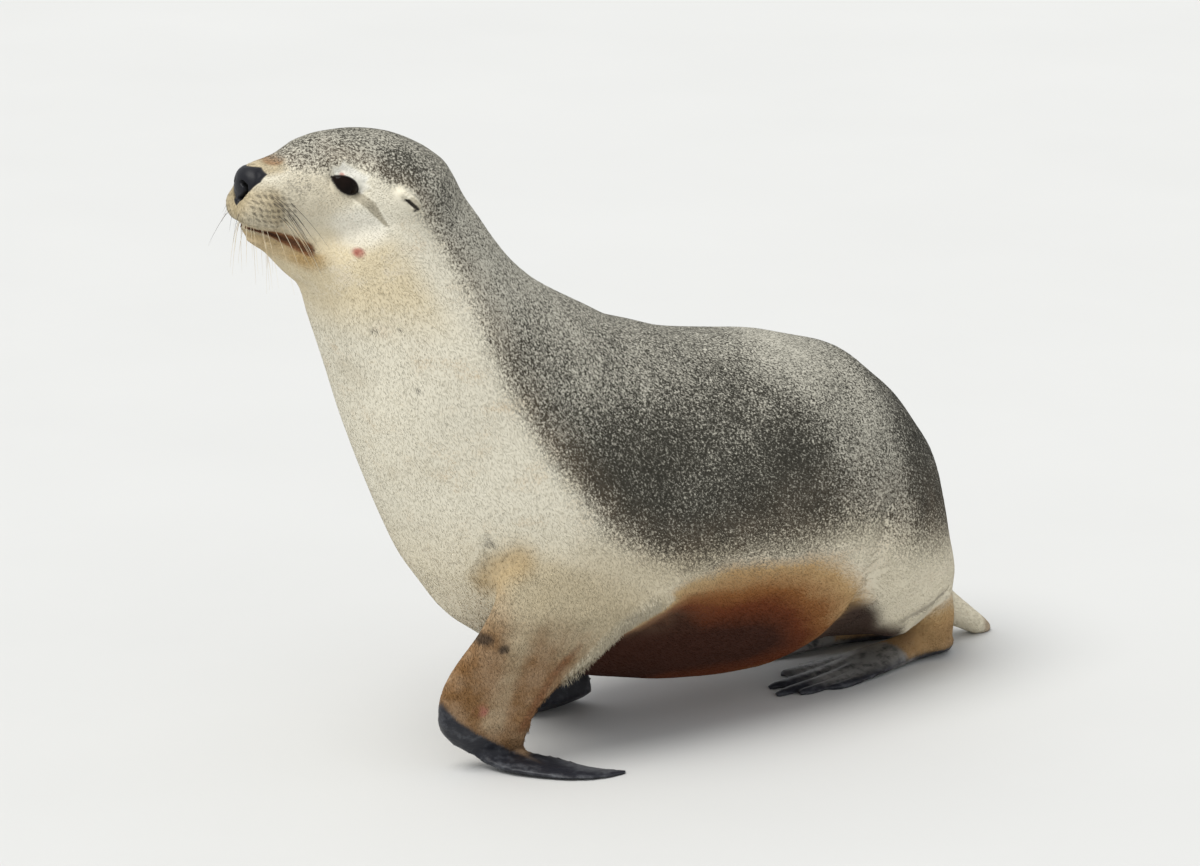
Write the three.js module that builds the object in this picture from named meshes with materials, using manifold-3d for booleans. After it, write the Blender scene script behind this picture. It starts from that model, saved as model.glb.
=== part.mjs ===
// A life-size sea lion walking on level ground, as a still museum model.
// Millimetres, +Z up. The animal faces -Y and its left side is +X. The origin is on the ground.
// The flesh is lofted along curves, joined, and parted into named nodes with thin cuts.
import * as THREE from "three";
import { mergeVertices } from "three/addons/utils/BufferGeometryUtils.js";
import Module from "manifold-3d";

const wasm = await Module();
wasm.setup();

// ---- driving dimensions -------------------------------------------------
const GAP = 0.5; // clearance between neighbouring nodes
const TOLERANCE = 0.2; // how far a surface may move when its triangles are thinned
const FAR = 3000; // larger than the whole animal
const EYE_RADIUS = 20;
const EYE_AT = [0, 45, -1]; // in the head's own frame, on the animal's left
const HEAD_PITCH = THREE.MathUtils.degToRad(8); // nose up
const HEAD_YAW = THREE.MathUtils.degToRad(8); // nose to the animal's right
const BETWEEN_EYES = new THREE.Vector3(-19, -617, 756);
const SOLE = 2; // the ground flattens this much of the feet
const WRIST_HEIGHT = 70; // fur above, bare leather below
const ANKLE_HEIGHT = 24;
const RIGHT_TOES_OUT = THREE.MathUtils.degToRad(24);

const PALE_FUR = { color: 0xc9bfa8, roughness: 0.85 };
const GREY_FUR = { color: 0xa59c8a, roughness: 0.85 };
const TAN_FUR = { color: 0xb39c7c, roughness: 0.85 };
const BROWN_FUR = { color: 0x8d8474, roughness: 0.85 };
const LEATHER = { color: 0x2f3138, roughness: 0.6 };
const WET_NOSE = { color: 0x17181a, roughness: 0.35 };
const EYEBALL = { color: 0x0c0a09, roughness: 0.1 };

// ---- solids -------------------------------------------------------------
function solid(geometry) {
  const bare = geometry.clone();
  bare.deleteAttribute("normal");
  bare.deleteAttribute("uv");
  const merged = mergeVertices(bare, 1e-3);
  return new wasm.Manifold(
    new wasm.Mesh({
      numProp: 3,
      vertProperties: merged.attributes.position.array,
      triVerts: new Uint32Array(merged.index.array),
    }),
  );
}

function geometryOf(manifold) {
  const made = manifold.getMesh();
  return new THREE.BufferGeometry()
    .setAttribute("position", new THREE.BufferAttribute(made.vertProperties, 3))
    .setIndex(new THREE.BufferAttribute(made.triVerts, 1));
}

const union = (solids) => solids.reduce((joined, next) => joined.add(next));
const largest = (manifold) => manifold.decompose().sort((a, b) => b.volume() - a.volume())[0];

// A closed skin over rings of equal length, with a fan at each end.
function skinOver(rings) {
  const sides = rings[0].length;
  const points = rings.flat();
  const faces = [];
  const corner = (ring, side) => ring * sides + (side % sides);
  for (let ring = 0; ring + 1 < rings.length; ring++)
    for (let side = 0; side < sides; side++) {
      const [a, b] = [corner(ring, side), corner(ring, side + 1)];
      const [d, c] = [corner(ring + 1, side), corner(ring + 1, side + 1)];
      faces.push(a, b, c, a, c, d);
    }
  for (const [ring, turn] of [[0, 1], [rings.length - 1, 0]]) {
    const sum = rings[ring].reduce((total, point) => total.add(point), new THREE.Vector3());
    const middle = points.push(sum.divideScalar(sides)) - 1;
    for (let side = 0; side < sides; side++) {
      const pair = [corner(ring, side), corner(ring, side + 1)];
      faces.push(middle, pair[turn], pair[1 - turn]);
    }
  }
  const skin = (order) => solid(new THREE.BufferGeometry().setFromPoints(points).setIndex(order));
  const made = skin(faces);
  return made.volume() > 0 ? made : skin([...faces].reverse());
}

const curve = (stations, pick) =>
  new THREE.CatmullRomCurve3(stations.map((station) => new THREE.Vector3(...pick(station))));

// A loft along a smooth curve. Each station has at [x, y, z], the side vector its width runs along, the half
// width, and the half heights above and below the curve. Grow adds to every half size and to both ends, and
// square above 2 makes the section fuller than an ellipse.
function loft(stations, { sides, steps, grow = 0, square = 2 }) {
  const line = curve(stations, (s) => s.at);
  const across = curve(stations, (s) => s.side ?? [1, 0, 0]);
  const size = curve(stations, (s) => [s.wide, s.up, s.down ?? s.up]);
  const fuller = (value) => Math.sign(value) * Math.abs(value) ** (2 / square);
  const rings = [];
  for (let step = 0; step <= steps; step++) {
    const t = step / steps;
    const centre = line.getPoint(t);
    const along = line.getTangent(t);
    const side = across.getPoint(t).projectOnPlane(along).normalize();
    const up = new THREE.Vector3().crossVectors(side, along).normalize();
    const half = size.getPoint(t);
    if (step === 0) centre.addScaledVector(along, -grow);
    if (step === steps) centre.addScaledVector(along, grow);
    const ring = [];
    for (let i = 0; i < sides; i++) {
      const turn = (2 * Math.PI * i) / sides;
      const [c, s] = [fuller(Math.cos(turn)), fuller(Math.sin(turn))];
      const height = s * ((s > 0 ? half.y : half.z) + grow);
      ring.push(centre.clone().addScaledVector(side, c * (half.x + grow)).addScaledVector(up, height));
    }
    rings.push(ring);
  }
  return skinOver(rings);
}

// A limb between its leading and trailing edges. Each station is [lead, trail, half thickness], and taper
// makes the leading edge thicker than the trailing one.
function limb(stations, { sides, steps, taper = 0 }) {
  const lead = curve(stations, (s) => s[0]);
  const trail = curve(stations, (s) => s[1]);
  const thick = curve(stations, (s) => [s[2], 0, 0]);
  const rings = [];
  for (let step = 0; step <= steps; step++) {
    const t = step / steps;
    const [front, back] = [lead.getPoint(t), trail.getPoint(t)];
    const chord = front.clone().sub(back);
    const centre = front.clone().add(back).multiplyScalar(0.5);
    const along = lead.getTangent(t).add(trail.getTangent(t));
    const flat = new THREE.Vector3().crossVectors(chord, along).normalize();
    const ring = [];
    for (let i = 0; i < sides; i++) {
      const turn = (2 * Math.PI * i) / sides;
      const [c, s] = [Math.cos(turn), Math.sin(turn)];
      const half = thick.getPoint(t).x * (1 - taper + taper * c);
      ring.push(centre.clone().addScaledVector(chord, c / 2).addScaledVector(flat, s * half));
    }
    rings.push(ring);
  }
  return skinOver(rings);
}

function ellipsoid(at, radii, { grow = 0, turn = [0, 0, 0], sides }) {
  const ball = new THREE.SphereGeometry(1, sides, Math.round(sides * 0.6));
  ball.scale(...radii.map((radius) => radius + grow));
  ball.applyMatrix4(new THREE.Matrix4().makeRotationFromEuler(new THREE.Euler(...turn)));
  ball.translate(...at);
  return solid(ball);
}

// Everything on the side of a plane that its normal points to.
function halfSpace({ point, normal }, shift = 0) {
  const box = new THREE.BoxGeometry(FAR, FAR, FAR).translate(0, 0, FAR / 2 + shift);
  const facing = new THREE.Vector3(...normal).normalize();
  const turn = new THREE.Quaternion().setFromUnitVectors(new THREE.Vector3(0, 0, 1), facing);
  return solid(box.applyQuaternion(turn).translate(...point));
}
const ahead = (plane) => halfSpace(plane, GAP / 2);
const behind = ({ point, normal }) => halfSpace({ point, normal: normal.map((n) => -n) }, GAP / 2);
const levelAt = (height) => ({ point: [0, 0, height], normal: [0, 0, 1] });

// ---- trunk and neck -----------------------------------------------------
// From the rump forward and up the neck to inside the head.
const TRUNK = [
  { at: [0, 341, 110], wide: 20, up: 14, down: 12 },
  { at: [0, 326, 112], wide: 58, up: 44, down: 30 },
  { at: [0, 287, 124], wide: 98, up: 82, down: 56 },
  { at: [0, 231, 156], wide: 134, up: 134, down: 100 },
  { at: [0, 163, 208], wide: 158, up: 184, down: 168 },
  { at: [0, 66, 251], wide: 174, up: 220, down: 214 },
  { at: [0, -59, 265], wide: 180, up: 227, down: 224 },
  { at: [0, -193, 292], wide: 176, up: 229, down: 224 },
  { at: [0, -306, 347], wide: 164, up: 220, down: 218 },
  { at: [-1, -389, 426], wide: 146, up: 186, down: 190 },
  { at: [-3, -454, 507], wide: 128, up: 151, down: 156 },
  { at: [-7, -501, 588], wide: 113, up: 129, down: 129 },
  { at: [-11, -537, 657], wide: 100, up: 119, down: 121 },
  { at: [-14, -564, 711], wide: 86, up: 101, down: 106 },
  { at: [-17, -594, 748], wide: 58, up: 56, down: 66 },
];
const THIGH = { at: [75, 190, 148], radii: [58, 100, 90], turn: [0.25, 0, 0.1] };

function thigh(side, grow) {
  const [x, y, z] = THIGH.at;
  const [pitch, roll, yaw] = THIGH.turn;
  return ellipsoid([side * x, y, z], THIGH.radii, { grow, turn: [pitch, roll, -side * yaw], sides: 16 });
}
const trunk = (grow = 0) =>
  union([loft(TRUNK, { sides: 26, steps: 26, grow, square: 2.1 }), thigh(1, grow), thigh(-1, grow)]);

// ---- head ---------------------------------------------------------------
// In the head's own frame u runs forward from between the eyes, v to the animal's left and w up.
const headFrame = new THREE.Matrix4()
  .makeRotationZ(-HEAD_YAW)
  .multiply(new THREE.Matrix4().makeRotationX(-HEAD_PITCH))
  .setPosition(BETWEEN_EYES);
const inHead = (u, v, w) => new THREE.Vector3(v, -u, w).applyMatrix4(headFrame).toArray();
const headDirection = (u, v, w) => new THREE.Vector3(v, -u, w).transformDirection(headFrame).toArray();

function headEllipsoid([u, v, w], [along, across, high], { grow = 0, sides = 12, lift = 0 } = {}) {
  const turned = headFrame.clone().multiply(new THREE.Matrix4().makeRotationX(-lift));
  const { x, y, z } = new THREE.Euler().setFromRotationMatrix(turned);
  return ellipsoid(inHead(u, v, w), [across, along, high], { grow, turn: [x, y, z], sides });
}
const headStation = ([u, top, bottom, wide]) => ({
  at: inHead(u, 0, (top + bottom) / 2),
  side: headDirection(0, 1, 0),
  wide,
  up: (top - bottom) / 2,
});

// Columns: u, top w, bottom w, half width.
const CRANIUM = [
  [-160, -22, -96, 40],
  [-146, 8, -108, 64],
  [-124, 34, -112, 81],
  [-94, 51, -108, 87],
  [-66, 59, -102, 87],
  [-39, 61, -96, 81],
  [-13, 58, -90, 72],
  [14, 52, -84, 60],
  [40, 38, -78, 49],
  [62, 25, -70, 42],
  [85, 17, -64, 37],
  [102, 10, -58, 31],
  [110, 4, -50, 22],
  [114, -10, -36, 8],
].map(headStation);
const JAW = [
  [-40, -66, -140, 62],
  [2, -64, -136, 56],
  [25, -62, -124, 50],
  [44, -61, -109, 43],
  [60, -60, -99, 35],
  [78, -60, -91, 27],
  [92, -62, -83, 17],
  [98, -66, -76, 7],
].map(headStation);
const PAD = { at: [86, 22, -38], radii: [28, 22, 25] }; // the whisker pad
const NOSE = { at: [97, 0, -12], radii: [19, 26, 24] };
const NOSTRIL = { at: [113, 11, -10], radii: [9, 4, 8] };
const BROW = { at: [4, 42, 23], radii: [30, 19, 15] };
const LIDS = { at: [3, 64, 0], radii: [18, 9, 10], lift: 0.35 }; // the opening between the lids

const onSide = ({ at: [u, v, w], radii, ...rest }, side, options) =>
  headEllipsoid([u, side * v, w], radii, { ...rest, ...options });
const onBothSides = (form, options) => union([onSide(form, 1, options), onSide(form, -1, options)]);
const eye = (side, grow = 0) => onSide({ at: EYE_AT, radii: Array(3).fill(EYE_RADIUS) }, side, { grow });
const nose = (grow = 0) => headEllipsoid(NOSE.at, NOSE.radii, { grow, sides: 14 });
const cranium = (grow = 0) => loft(CRANIUM, { sides: 20, steps: 19, grow });
const skull = (grow = 0) => cranium(grow).add(onBothSides(PAD, { grow }));
const jaw = () => loft(JAW, { sides: 14, steps: 10 });

function ear(side) {
  const across = headDirection(0, 1, 0);
  const stations = [
    { at: inHead(-58, side * 78, -2), side: across, wide: 6, up: 9 },
    { at: inHead(-74, side * 92, -14), side: across, wide: 6, up: 7 },
    { at: inHead(-88, side * 97, -27), side: across, wide: 2, up: 2 },
  ];
  return loft(stations, { sides: 8, steps: 5 });
}

// ---- fore limbs: leading edge, trailing edge, half thickness ------------
const LEFT_ARM = [
  [[96, -440, 320], [120, -160, 310], 34],
  [[108, -462, 247], [166, -194, 216], 38],
  [[92, -479, 191], [150, -259, 184], 36],
  [[80, -488, 168], [138, -290, 160], 34],
  [[68, -496, 148], [126, -318, 138], 32],
  [[54, -504, 122], [112, -354, 112], 29],
  [[42, -506, 94], [103, -384, 84], 26],
  [[32, -498, 64], [94, -398, 56], 23],
  [[28, -480, 42], [82, -398, 34], 20],
  [[40, -461, 24], [68, -384, 18], 16],
  [[70, -448, 13], [62, -370, 10], 12],
  [[100, -437, 10], [68, -360, 7], 10],
  [[135, -416, 8], [84, -350, 5], 8],
  [[165, -385, 6], [110, -342, 4], 6],
  [[182, -350, 5], [138, -330, 3], 4.5],
  [[182, -320, 4], [166, -308, 3], 3],
];
const RIGHT_ARM = [
  [[-100, -420, 320], [-120, -140, 290], 40],
  [[-112, -420, 250], [-146, -150, 214], 40],
  [[-106, -388, 190], [-138, -166, 176], 35],
  [[-96, -345, 140], [-118, -178, 132], 30],
  [[-85, -312, 95], [-98, -178, 88], 26],
  [[-74, -292, 55], [-82, -176, 50], 22],
  [[-66, -290, 24], [-68, -176, 20], 17],
  [[-88, -290, 11], [-84, -180, 9], 12],
  [[-140, -278, 10], [-132, -190, 6], 9],
  [[-185, -262, 8], [-168, -188, 5], 7],
  [[-225, -236, 6], [-202, -182, 4], 5],
  [[-248, -206, 4], [-228, -174, 3], 4],
  [[-250, -186, 3], [-240, -170, 3], 3],
];
const ARM_DETAIL = { sides: 12, steps: 20, taper: 0.35 };

// ---- hind limbs and tail ------------------------------------------------
// The left foot, from its heel: outer edge, inner edge, half thickness.
const FOOT = [
  [[6, 0, 12], [-8, 0, 12], 10],
  [[20, -16, 17], [-24, -16, 17], 17],
  [[24, -51, 20], [-30, -51, 20], 20],
  [[28, -86, 17], [-36, -86, 17], 17],
  [[35, -121, 12], [-46, -121, 12], 12],
  [[44, -161, 8], [-60, -161, 8], 8],
  [[45, -196, 6], [-68, -196, 6], 6],
  [[36, -231, 5], [-52, -231, 5], 5],
  [[28, -254, 4], [-40, -254, 4], 3],
];
const TOE_ROOT_Y = -190;
const TOE_HEIGHT = 5;
const TOES = [
  { rootX: 34, tip: [36, -240] },
  { rootX: 18, tip: [31, -284] },
  { rootX: 0, tip: [17, -312] },
  { rootX: -20, tip: [-12, -300] },
  { rootX: -42, tip: [-46, -252] },
];
// Columns: share of the toe's length, half width, half height.
const TOE_SECTIONS = [[0, 11, 6], [0.6, 13, 5.5], [0.9, 10, 5], [1, 4, 3.5]];
const ANKLE = [
  { at: [17, -74, 104], side: [0, -1, 0], wide: 40, up: 32 },
  { at: [11, -48, 72], side: [0, -1, 0], wide: 38, up: 27 },
  { at: [5, -40, 38], side: [0, -1, 0], wide: 34, up: 26 },
  { at: [5, -42, 14], side: [0, -1, 0], wide: 32, up: 24 },
];
const HEELS = { left: { at: [38, 336, 0], splay: 0 }, right: { at: [-48, 322, 0], splay: RIGHT_TOES_OUT } };

function toe({ rootX, tip: [tipX, tipY] }, place) {
  const stations = TOE_SECTIONS.map(([t, wide, up]) => ({
    at: place([rootX + (tipX - rootX) * t, TOE_ROOT_Y + (tipY - TOE_ROOT_Y) * t, TOE_HEIGHT]),
    wide,
    up,
  }));
  return loft(stations, { sides: 7, steps: 4 });
}

function hindLimb(side, { at: heel, splay }) {
  const place = ([x, y, z]) =>
    new THREE.Vector3(side * x, y, z)
      .applyAxisAngle(new THREE.Vector3(0, 0, 1), side * splay)
      .add(new THREE.Vector3(...heel))
      .toArray();
  const foot = FOOT.map(([outer, inner, thick]) => [place(outer), place(inner), thick]);
  const ankle = ANKLE.map((station) => ({ ...station, at: place(station.at) }));
  const toes = TOES.map((shape) => toe(shape, place));
  return union([limb(foot, { sides: 10, steps: 9 }), loft(ankle, { sides: 14, steps: 5 }), ...toes]);
}

const TAIL = [
  { at: [-4, 318, 84], wide: 20, up: 24 },
  { at: [-3, 350, 60], wide: 20, up: 20 },
  { at: [-1, 388, 36], wide: 17, up: 13 },
  { at: [0, 416, 18], wide: 12, up: 9 },
  { at: [0, 432, 10], wide: 4, up: 4 },
];

// ---- nodes --------------------------------------------------------------
const parts = new THREE.Group();

function node(name, manifold, finish) {
  const geometry = geometryOf(manifold.simplify(TOLERANCE));
  const mesh = new THREE.Mesh(geometry, new THREE.MeshStandardMaterial(finish));
  mesh.name = name;
  parts.add(mesh);
}

// The head and trunk are one form, parted by planes that face forward.
const SNOUT_CUT = { point: inHead(46, 0, 0), normal: headDirection(1, 0, 0.1) };
const HEAD_CUT = { point: [-11, -560, 690], normal: [0, -0.6, 0.8] };
const NECK_CUT = { point: [0, -400, 440], normal: [0, -0.66, 0.75] };
const CHEST_CUT = { point: [0, -170, 290], normal: [0, -0.96, 0.28] };
const RUMP_CUT = { point: [0, 140, 215], normal: [0, -0.9, 0.43] };
const LENGTHS = [
  ["muzzle", TAN_FUR, SNOUT_CUT, null],
  ["head", GREY_FUR, HEAD_CUT, SNOUT_CUT],
  ["neck", PALE_FUR, NECK_CUT, HEAD_CUT],
  ["chest", PALE_FUR, CHEST_CUT, NECK_CUT],
  ["belly", BROWN_FUR, RUMP_CUT, CHEST_CUT],
  ["rump", GREY_FUR, null, RUMP_CUT],
];
const openings = union([nose(GAP), eye(1, GAP), eye(-1, GAP), onBothSides(LIDS)]);
const flesh = union([trunk(), skull(), onBothSides(BROW)]).subtract(openings);
for (const [name, finish, rear, front] of LENGTHS) {
  const cutRear = rear ? flesh.intersect(ahead(rear)) : flesh;
  node(name, front ? cutRear.intersect(behind(front)) : cutRear, finish);
}

const clearOfTrunk = (manifold) => manifold.subtract(trunk(GAP));
const onTheGround = (manifold) => manifold.intersect(halfSpace(levelAt(SOLE)));
const nostrils = onBothSides(NOSTRIL, { sides: 8 });
node("lower_jaw", largest(clearOfTrunk(jaw()).subtract(skull(GAP))), TAN_FUR);
node("nose", nose().subtract(nostrils), WET_NOSE);
for (const [name, side] of [["left", 1], ["right", -1]]) {
  node(`eye_${name}`, eye(side), EYEBALL);
  node(`ear_${name}`, largest(clearOfTrunk(ear(side)).subtract(cranium(GAP))), GREY_FUR);
  const arm = largest(onTheGround(clearOfTrunk(limb(side > 0 ? LEFT_ARM : RIGHT_ARM, ARM_DETAIL))));
  node(`arm_${name}`, largest(arm.intersect(ahead(levelAt(WRIST_HEIGHT)))), TAN_FUR);
  node(`flipper_${name}`, largest(arm.intersect(behind(levelAt(WRIST_HEIGHT)))), LEATHER);
  const leg = largest(onTheGround(clearOfTrunk(hindLimb(side, HEELS[name]))));
  node(`ankle_${name}`, largest(leg.intersect(ahead(levelAt(ANKLE_HEIGHT)))), TAN_FUR);
  node(`foot_${name}`, largest(leg.intersect(behind(levelAt(ANKLE_HEIGHT)))), LEATHER);
}
node("tail", largest(clearOfTrunk(loft(TAIL, { sides: 12, steps: 7 }))), PALE_FUR);

// The origin is under the middle of the animal, on the ground.
const middle = new THREE.Box3().setFromObject(parts).getCenter(new THREE.Vector3());
for (const mesh of parts.children) mesh.geometry.translate(-middle.x, -middle.y, -SOLE);

export default parts;
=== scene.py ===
"""A female sea lion walking on level ground, life size, as a museum model.

Metres, +Z up. The animal faces -Y and its left side is +X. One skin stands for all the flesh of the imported
solids, and a coat of short tufts lies over it. Both carry the same markings.
"""

import math

import bmesh
import bpy
import numpy as np
from mathutils import Matrix, Vector
from mathutils.bvhtree import BVHTree


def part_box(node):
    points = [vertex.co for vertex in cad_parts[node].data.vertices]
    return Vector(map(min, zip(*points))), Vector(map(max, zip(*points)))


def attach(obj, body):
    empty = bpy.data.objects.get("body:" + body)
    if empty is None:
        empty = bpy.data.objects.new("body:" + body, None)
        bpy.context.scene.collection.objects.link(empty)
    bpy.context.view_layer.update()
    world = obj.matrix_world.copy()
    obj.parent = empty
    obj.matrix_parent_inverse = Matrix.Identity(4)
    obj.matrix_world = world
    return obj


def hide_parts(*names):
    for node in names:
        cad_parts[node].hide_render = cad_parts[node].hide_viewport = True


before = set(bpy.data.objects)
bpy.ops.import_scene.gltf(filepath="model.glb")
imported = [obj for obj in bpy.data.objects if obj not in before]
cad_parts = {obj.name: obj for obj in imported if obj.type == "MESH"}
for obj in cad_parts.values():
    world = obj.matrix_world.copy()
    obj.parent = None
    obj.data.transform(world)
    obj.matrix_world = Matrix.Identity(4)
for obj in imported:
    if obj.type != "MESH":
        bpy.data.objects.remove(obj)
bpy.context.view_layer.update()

MM = 0.001
SEED = 11
SIDES = {"left": 1, "right": -1}

# ---- the head's own frame ----
# Head positions are (forward, left, up) from between the eyes, in millimetres where they are named.
HEAD_YAW = math.radians(8)
HEAD_PITCH = math.radians(8)
EYE_RADIUS = 20 * MM
EYE_APART = 45 * MM
EYE_MIDDLE = np.array([0, EYE_APART, 0])


def box_middle(node):
    low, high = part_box(node)
    return (low + high) / 2


HEAD_TURN = Matrix.Rotation(-HEAD_YAW, 3, "Z") @ Matrix.Rotation(-HEAD_PITCH, 3, "X")
HEAD_AXES = np.array([HEAD_TURN @ Vector(v) for v in ((0, -1, 0), (1, 0, 0), (0, 0, 1))])
HEAD_ORIGIN = np.array((box_middle("eye_left") + box_middle("eye_right")) / 2)


def to_head(points):
    return (points - HEAD_ORIGIN) @ HEAD_AXES.T


def from_head(places):
    return np.asarray(places) @ HEAD_AXES + HEAD_ORIGIN


# ---- the spine: from the tail's root to the nose, as (y, z) on the midline ----
MIDLINE_X = 0.033
SPINE = np.array([
    (500, 105), (383, 154), (218, 249), (-41, 290), (-170, 355), (-237, 424),
    (-349, 586), (-412, 700), (-465, 745), (-580, 755)
]) * MM
SPINE_LINE = np.column_stack([np.full(len(SPINE), MIDLINE_X), SPINE])

# ---- small maths ----


def smoothstep(low, high, x):
    t = np.clip((x - low) / (high - low), 0, 1)
    return t * t * (3 - 2 * t)


def unit(vectors):
    return vectors / np.maximum(np.linalg.norm(vectors, axis=-1, keepdims=True), 1e-9)


def nearest_on_line(points, line):
    """For each point: its distance to the polyline, and how far along it the nearest place is."""
    best = np.full(len(points), 1e9)
    along = np.zeros(len(points))
    travelled = 0.0
    for a, b in zip(line[:-1], line[1:]):
        step = b - a
        length = np.linalg.norm(step)
        t = np.clip((points - a) @ step / length**2, 0, 1)
        distance = np.linalg.norm(points - a - t[:, None] * step, axis=1)
        nearer = distance < best
        best = np.where(nearer, distance, best)
        along = np.where(nearer, travelled + t * length, along)
        travelled += length
    return best, along


def inside_by(points, outline):
    """Signed distance to a closed outline in the plane, positive inside."""
    outline = np.asarray(outline, float)
    closed = np.vstack([outline, outline[:1]])
    distance, _ = nearest_on_line(points, closed)
    inside = np.zeros(len(points), bool)
    x, y = points.T
    for (x0, y0), (x1, y1) in zip(closed[:-1], closed[1:]):
        if y0 == y1:
            continue
        crosses = ((y0 > y) != (y1 > y)) & (x < (x1 - x0) * (y - y0) / (y1 - y0) + x0)
        inside ^= crosses
    return np.where(inside, distance, -distance)


def within(distance, full, none):
    """1 up to the full distance, falling to 0 at the other."""
    return 1 - smoothstep(full, none, distance)


def away(points, middle):
    return np.linalg.norm(points - middle, axis=1)


def oval(points, middle, reach, full, none):
    """1 round a middle, falling to 0, in shares of the reach along each axis; both are in millimetres."""
    return within(np.linalg.norm((points / MM - middle) / reach, axis=1), full, none)


def length_along(line):
    """How far along a polyline each of its points is."""
    return np.cumsum(np.concatenate([[0], np.linalg.norm(np.diff(line, axis=0), axis=1)]))


def at_lengths(along, travelled, values):
    """The values given at some lengths along a line, read off at others."""
    return np.stack([np.interp(along, travelled, column) for column in values.T], axis=1)



# ---- meshes as arrays ----


def read(collection, name, width, kind=np.float32):
    values = np.empty(len(collection) * width, kind)
    collection.foreach_get(name, values)
    return values.reshape(-1, width) if width > 1 else values


def points_of(mesh):
    return read(mesh.vertices, "co", 3).astype(float)


def set_points(mesh, points):
    mesh.vertices.foreach_set("co", points.astype(np.float32).ravel())
    mesh.update()


def normals_of(mesh):
    return read(mesh.vertex_normals, "vector", 3).astype(float)


class Neighbours:
    """Averages over each vertex's neighbours, for points and for masks."""

    def __init__(self, mesh):
        self.a, self.b = read(mesh.edges, "vertices", 2, np.int32).T
        self.size = len(mesh.vertices)
        self.count = np.maximum(np.bincount(np.concatenate([self.a, self.b]), minlength=self.size), 1)

    def mean(self, values):
        if values.ndim > 1:
            return np.stack([self.mean(column) for column in values.T], axis=1)
        total = np.bincount(self.a, values[self.b], self.size)
        total = total + np.bincount(self.b, values[self.a], self.size)
        return total / self.count

    def smooth(self, values, rounds, weight=1.0):
        """Half of the way to the neighbours' mean each round, times the weight."""
        share = 0.5 * np.asarray(weight)
        if values.ndim > 1 and share.ndim == 1:
            share = share[:, None]
        for _ in range(rounds):
            values = values + share * (self.mean(values) - values)
        return values

    def smooth_and_keep_size(self, values, rounds, weight=1.0):
        """Takes the facets off without the shrinking of a plain smooth."""
        soft = self.smooth(values, rounds, weight)
        return soft + self.smooth(values - soft, rounds, weight)


def evaluated(obj):
    """A new mesh of the object with its modifiers applied; the object is removed."""
    depsgraph = bpy.context.evaluated_depsgraph_get()
    mesh = bpy.data.meshes.new_from_object(obj.evaluated_get(depsgraph))
    bpy.data.objects.remove(obj)
    return mesh


def add_object(name, mesh, materials):
    obj = bpy.data.objects.new(name, mesh)
    bpy.context.scene.collection.objects.link(obj)
    for material in materials:
        mesh.materials.append(material)
    return obj


def shade_smooth(mesh):
    mesh.polygons.foreach_set("use_smooth", np.ones(len(mesh.polygons), bool))


def set_attribute(mesh, name, values):
    kind, key = ("FLOAT", "value") if values.ndim == 1 else ("FLOAT_VECTOR", "vector")
    layer = mesh.attributes.new(name, kind, "POINT")
    layer.data.foreach_set(key, values.astype(np.float32).ravel())


# ---- the skin's blank: all the flesh as one smooth form ----
TRUNK_NODES = ["neck", "chest", "belly", "rump"]
HEAD_NODES = ["muzzle", "head", "lower_jaw", "nose", "ear_left", "ear_right"]
LIMB_NODES = [f"{part}_{side}" for part in ("arm", "flipper", "ankle", "foot") for side in SIDES]
FLESH = TRUNK_NODES + HEAD_NODES + LIMB_NODES + ["tail"]
EYES = ["eye_left", "eye_right"]
FATTEN = 0.7 * MM  # closes the thin cuts between the nodes
VOXEL = 4 * MM
SMOOTH_ROUNDS = 120
# How much of the full smoothing each kind of node takes: the trunk's facets are the widest.
SOFTENING = {"neck": 1, "chest": 1, "belly": 1, "rump": 1}
SOFTENING |= {"head": 0.12, "muzzle": 0.05, "lower_jaw": 0.07, "nose": 0.04, "ear": 0.01}
SOFTENING |= {"arm": 0.25, "flipper": 0.02, "ankle": 0.4, "foot": 0.012, "tail": 0.08}
SHARE_KEPT = 0.3  # of the faces, after the trunk's are thinned


def kind_of(node):
    return node.rsplit("_", 1)[0] if node.rsplit("_", 1)[-1] in SIDES else node


def fattened_copy(node):
    part = bmesh.new()
    part.from_mesh(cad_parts[node].data)
    bmesh.ops.remove_doubles(part, verts=part.verts, dist=1e-6)
    part.normal_update()
    for vertex in part.verts:
        vertex.co += vertex.normal * FATTEN
    return part


def joined_flesh():
    whole = bpy.data.meshes.new("blank")
    together = bmesh.new()
    for node in FLESH + EYES:
        part = fattened_copy(node)
        part.to_mesh(whole)
        part.free()
        together.from_mesh(whole)
    together.to_mesh(whole)
    together.free()
    return whole


def remeshed(mesh):
    obj = add_object("blank", mesh, [])
    remesh = obj.modifiers.new("remesh", "REMESH")
    remesh.mode = "VOXEL"
    remesh.voxel_size = VOXEL
    return evaluated(obj)


def node_of_each(points):
    """For each point, the index in FLESH of the CAD node nearest to it."""
    vertices, faces, owner = [], [], []
    for index, node in enumerate(FLESH):
        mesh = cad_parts[node].data
        start = len(vertices)
        vertices += [v.co.copy() for v in mesh.vertices]
        faces += [[start + i for i in face.vertices] for face in mesh.polygons]
        owner += [index] * len(mesh.polygons)
    tree = BVHTree.FromPolygons(vertices, faces)
    return np.array([owner[tree.find_nearest(p)[2]] for p in points])


def share_of(owner, nodes):
    """1 where the nearest node is one of these, else 0."""
    return np.isin(owner, [FLESH.index(node) for node in nodes]).astype(float)


def thinned(mesh, owner):
    """Fewer faces on the trunk, where the form is broad; the head and limbs keep theirs."""
    obj = add_object("blank", mesh, [])
    group = obj.vertex_groups.new(name="broad")
    group.add(np.flatnonzero(share_of(owner, TRUNK_NODES)).tolist(), 1.0, "REPLACE")
    decimate = obj.modifiers.new("thin", "DECIMATE")
    decimate.ratio = SHARE_KEPT
    decimate.vertex_group = "broad"
    decimate.vertex_group_factor = 100
    return evaluated(obj)


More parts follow.
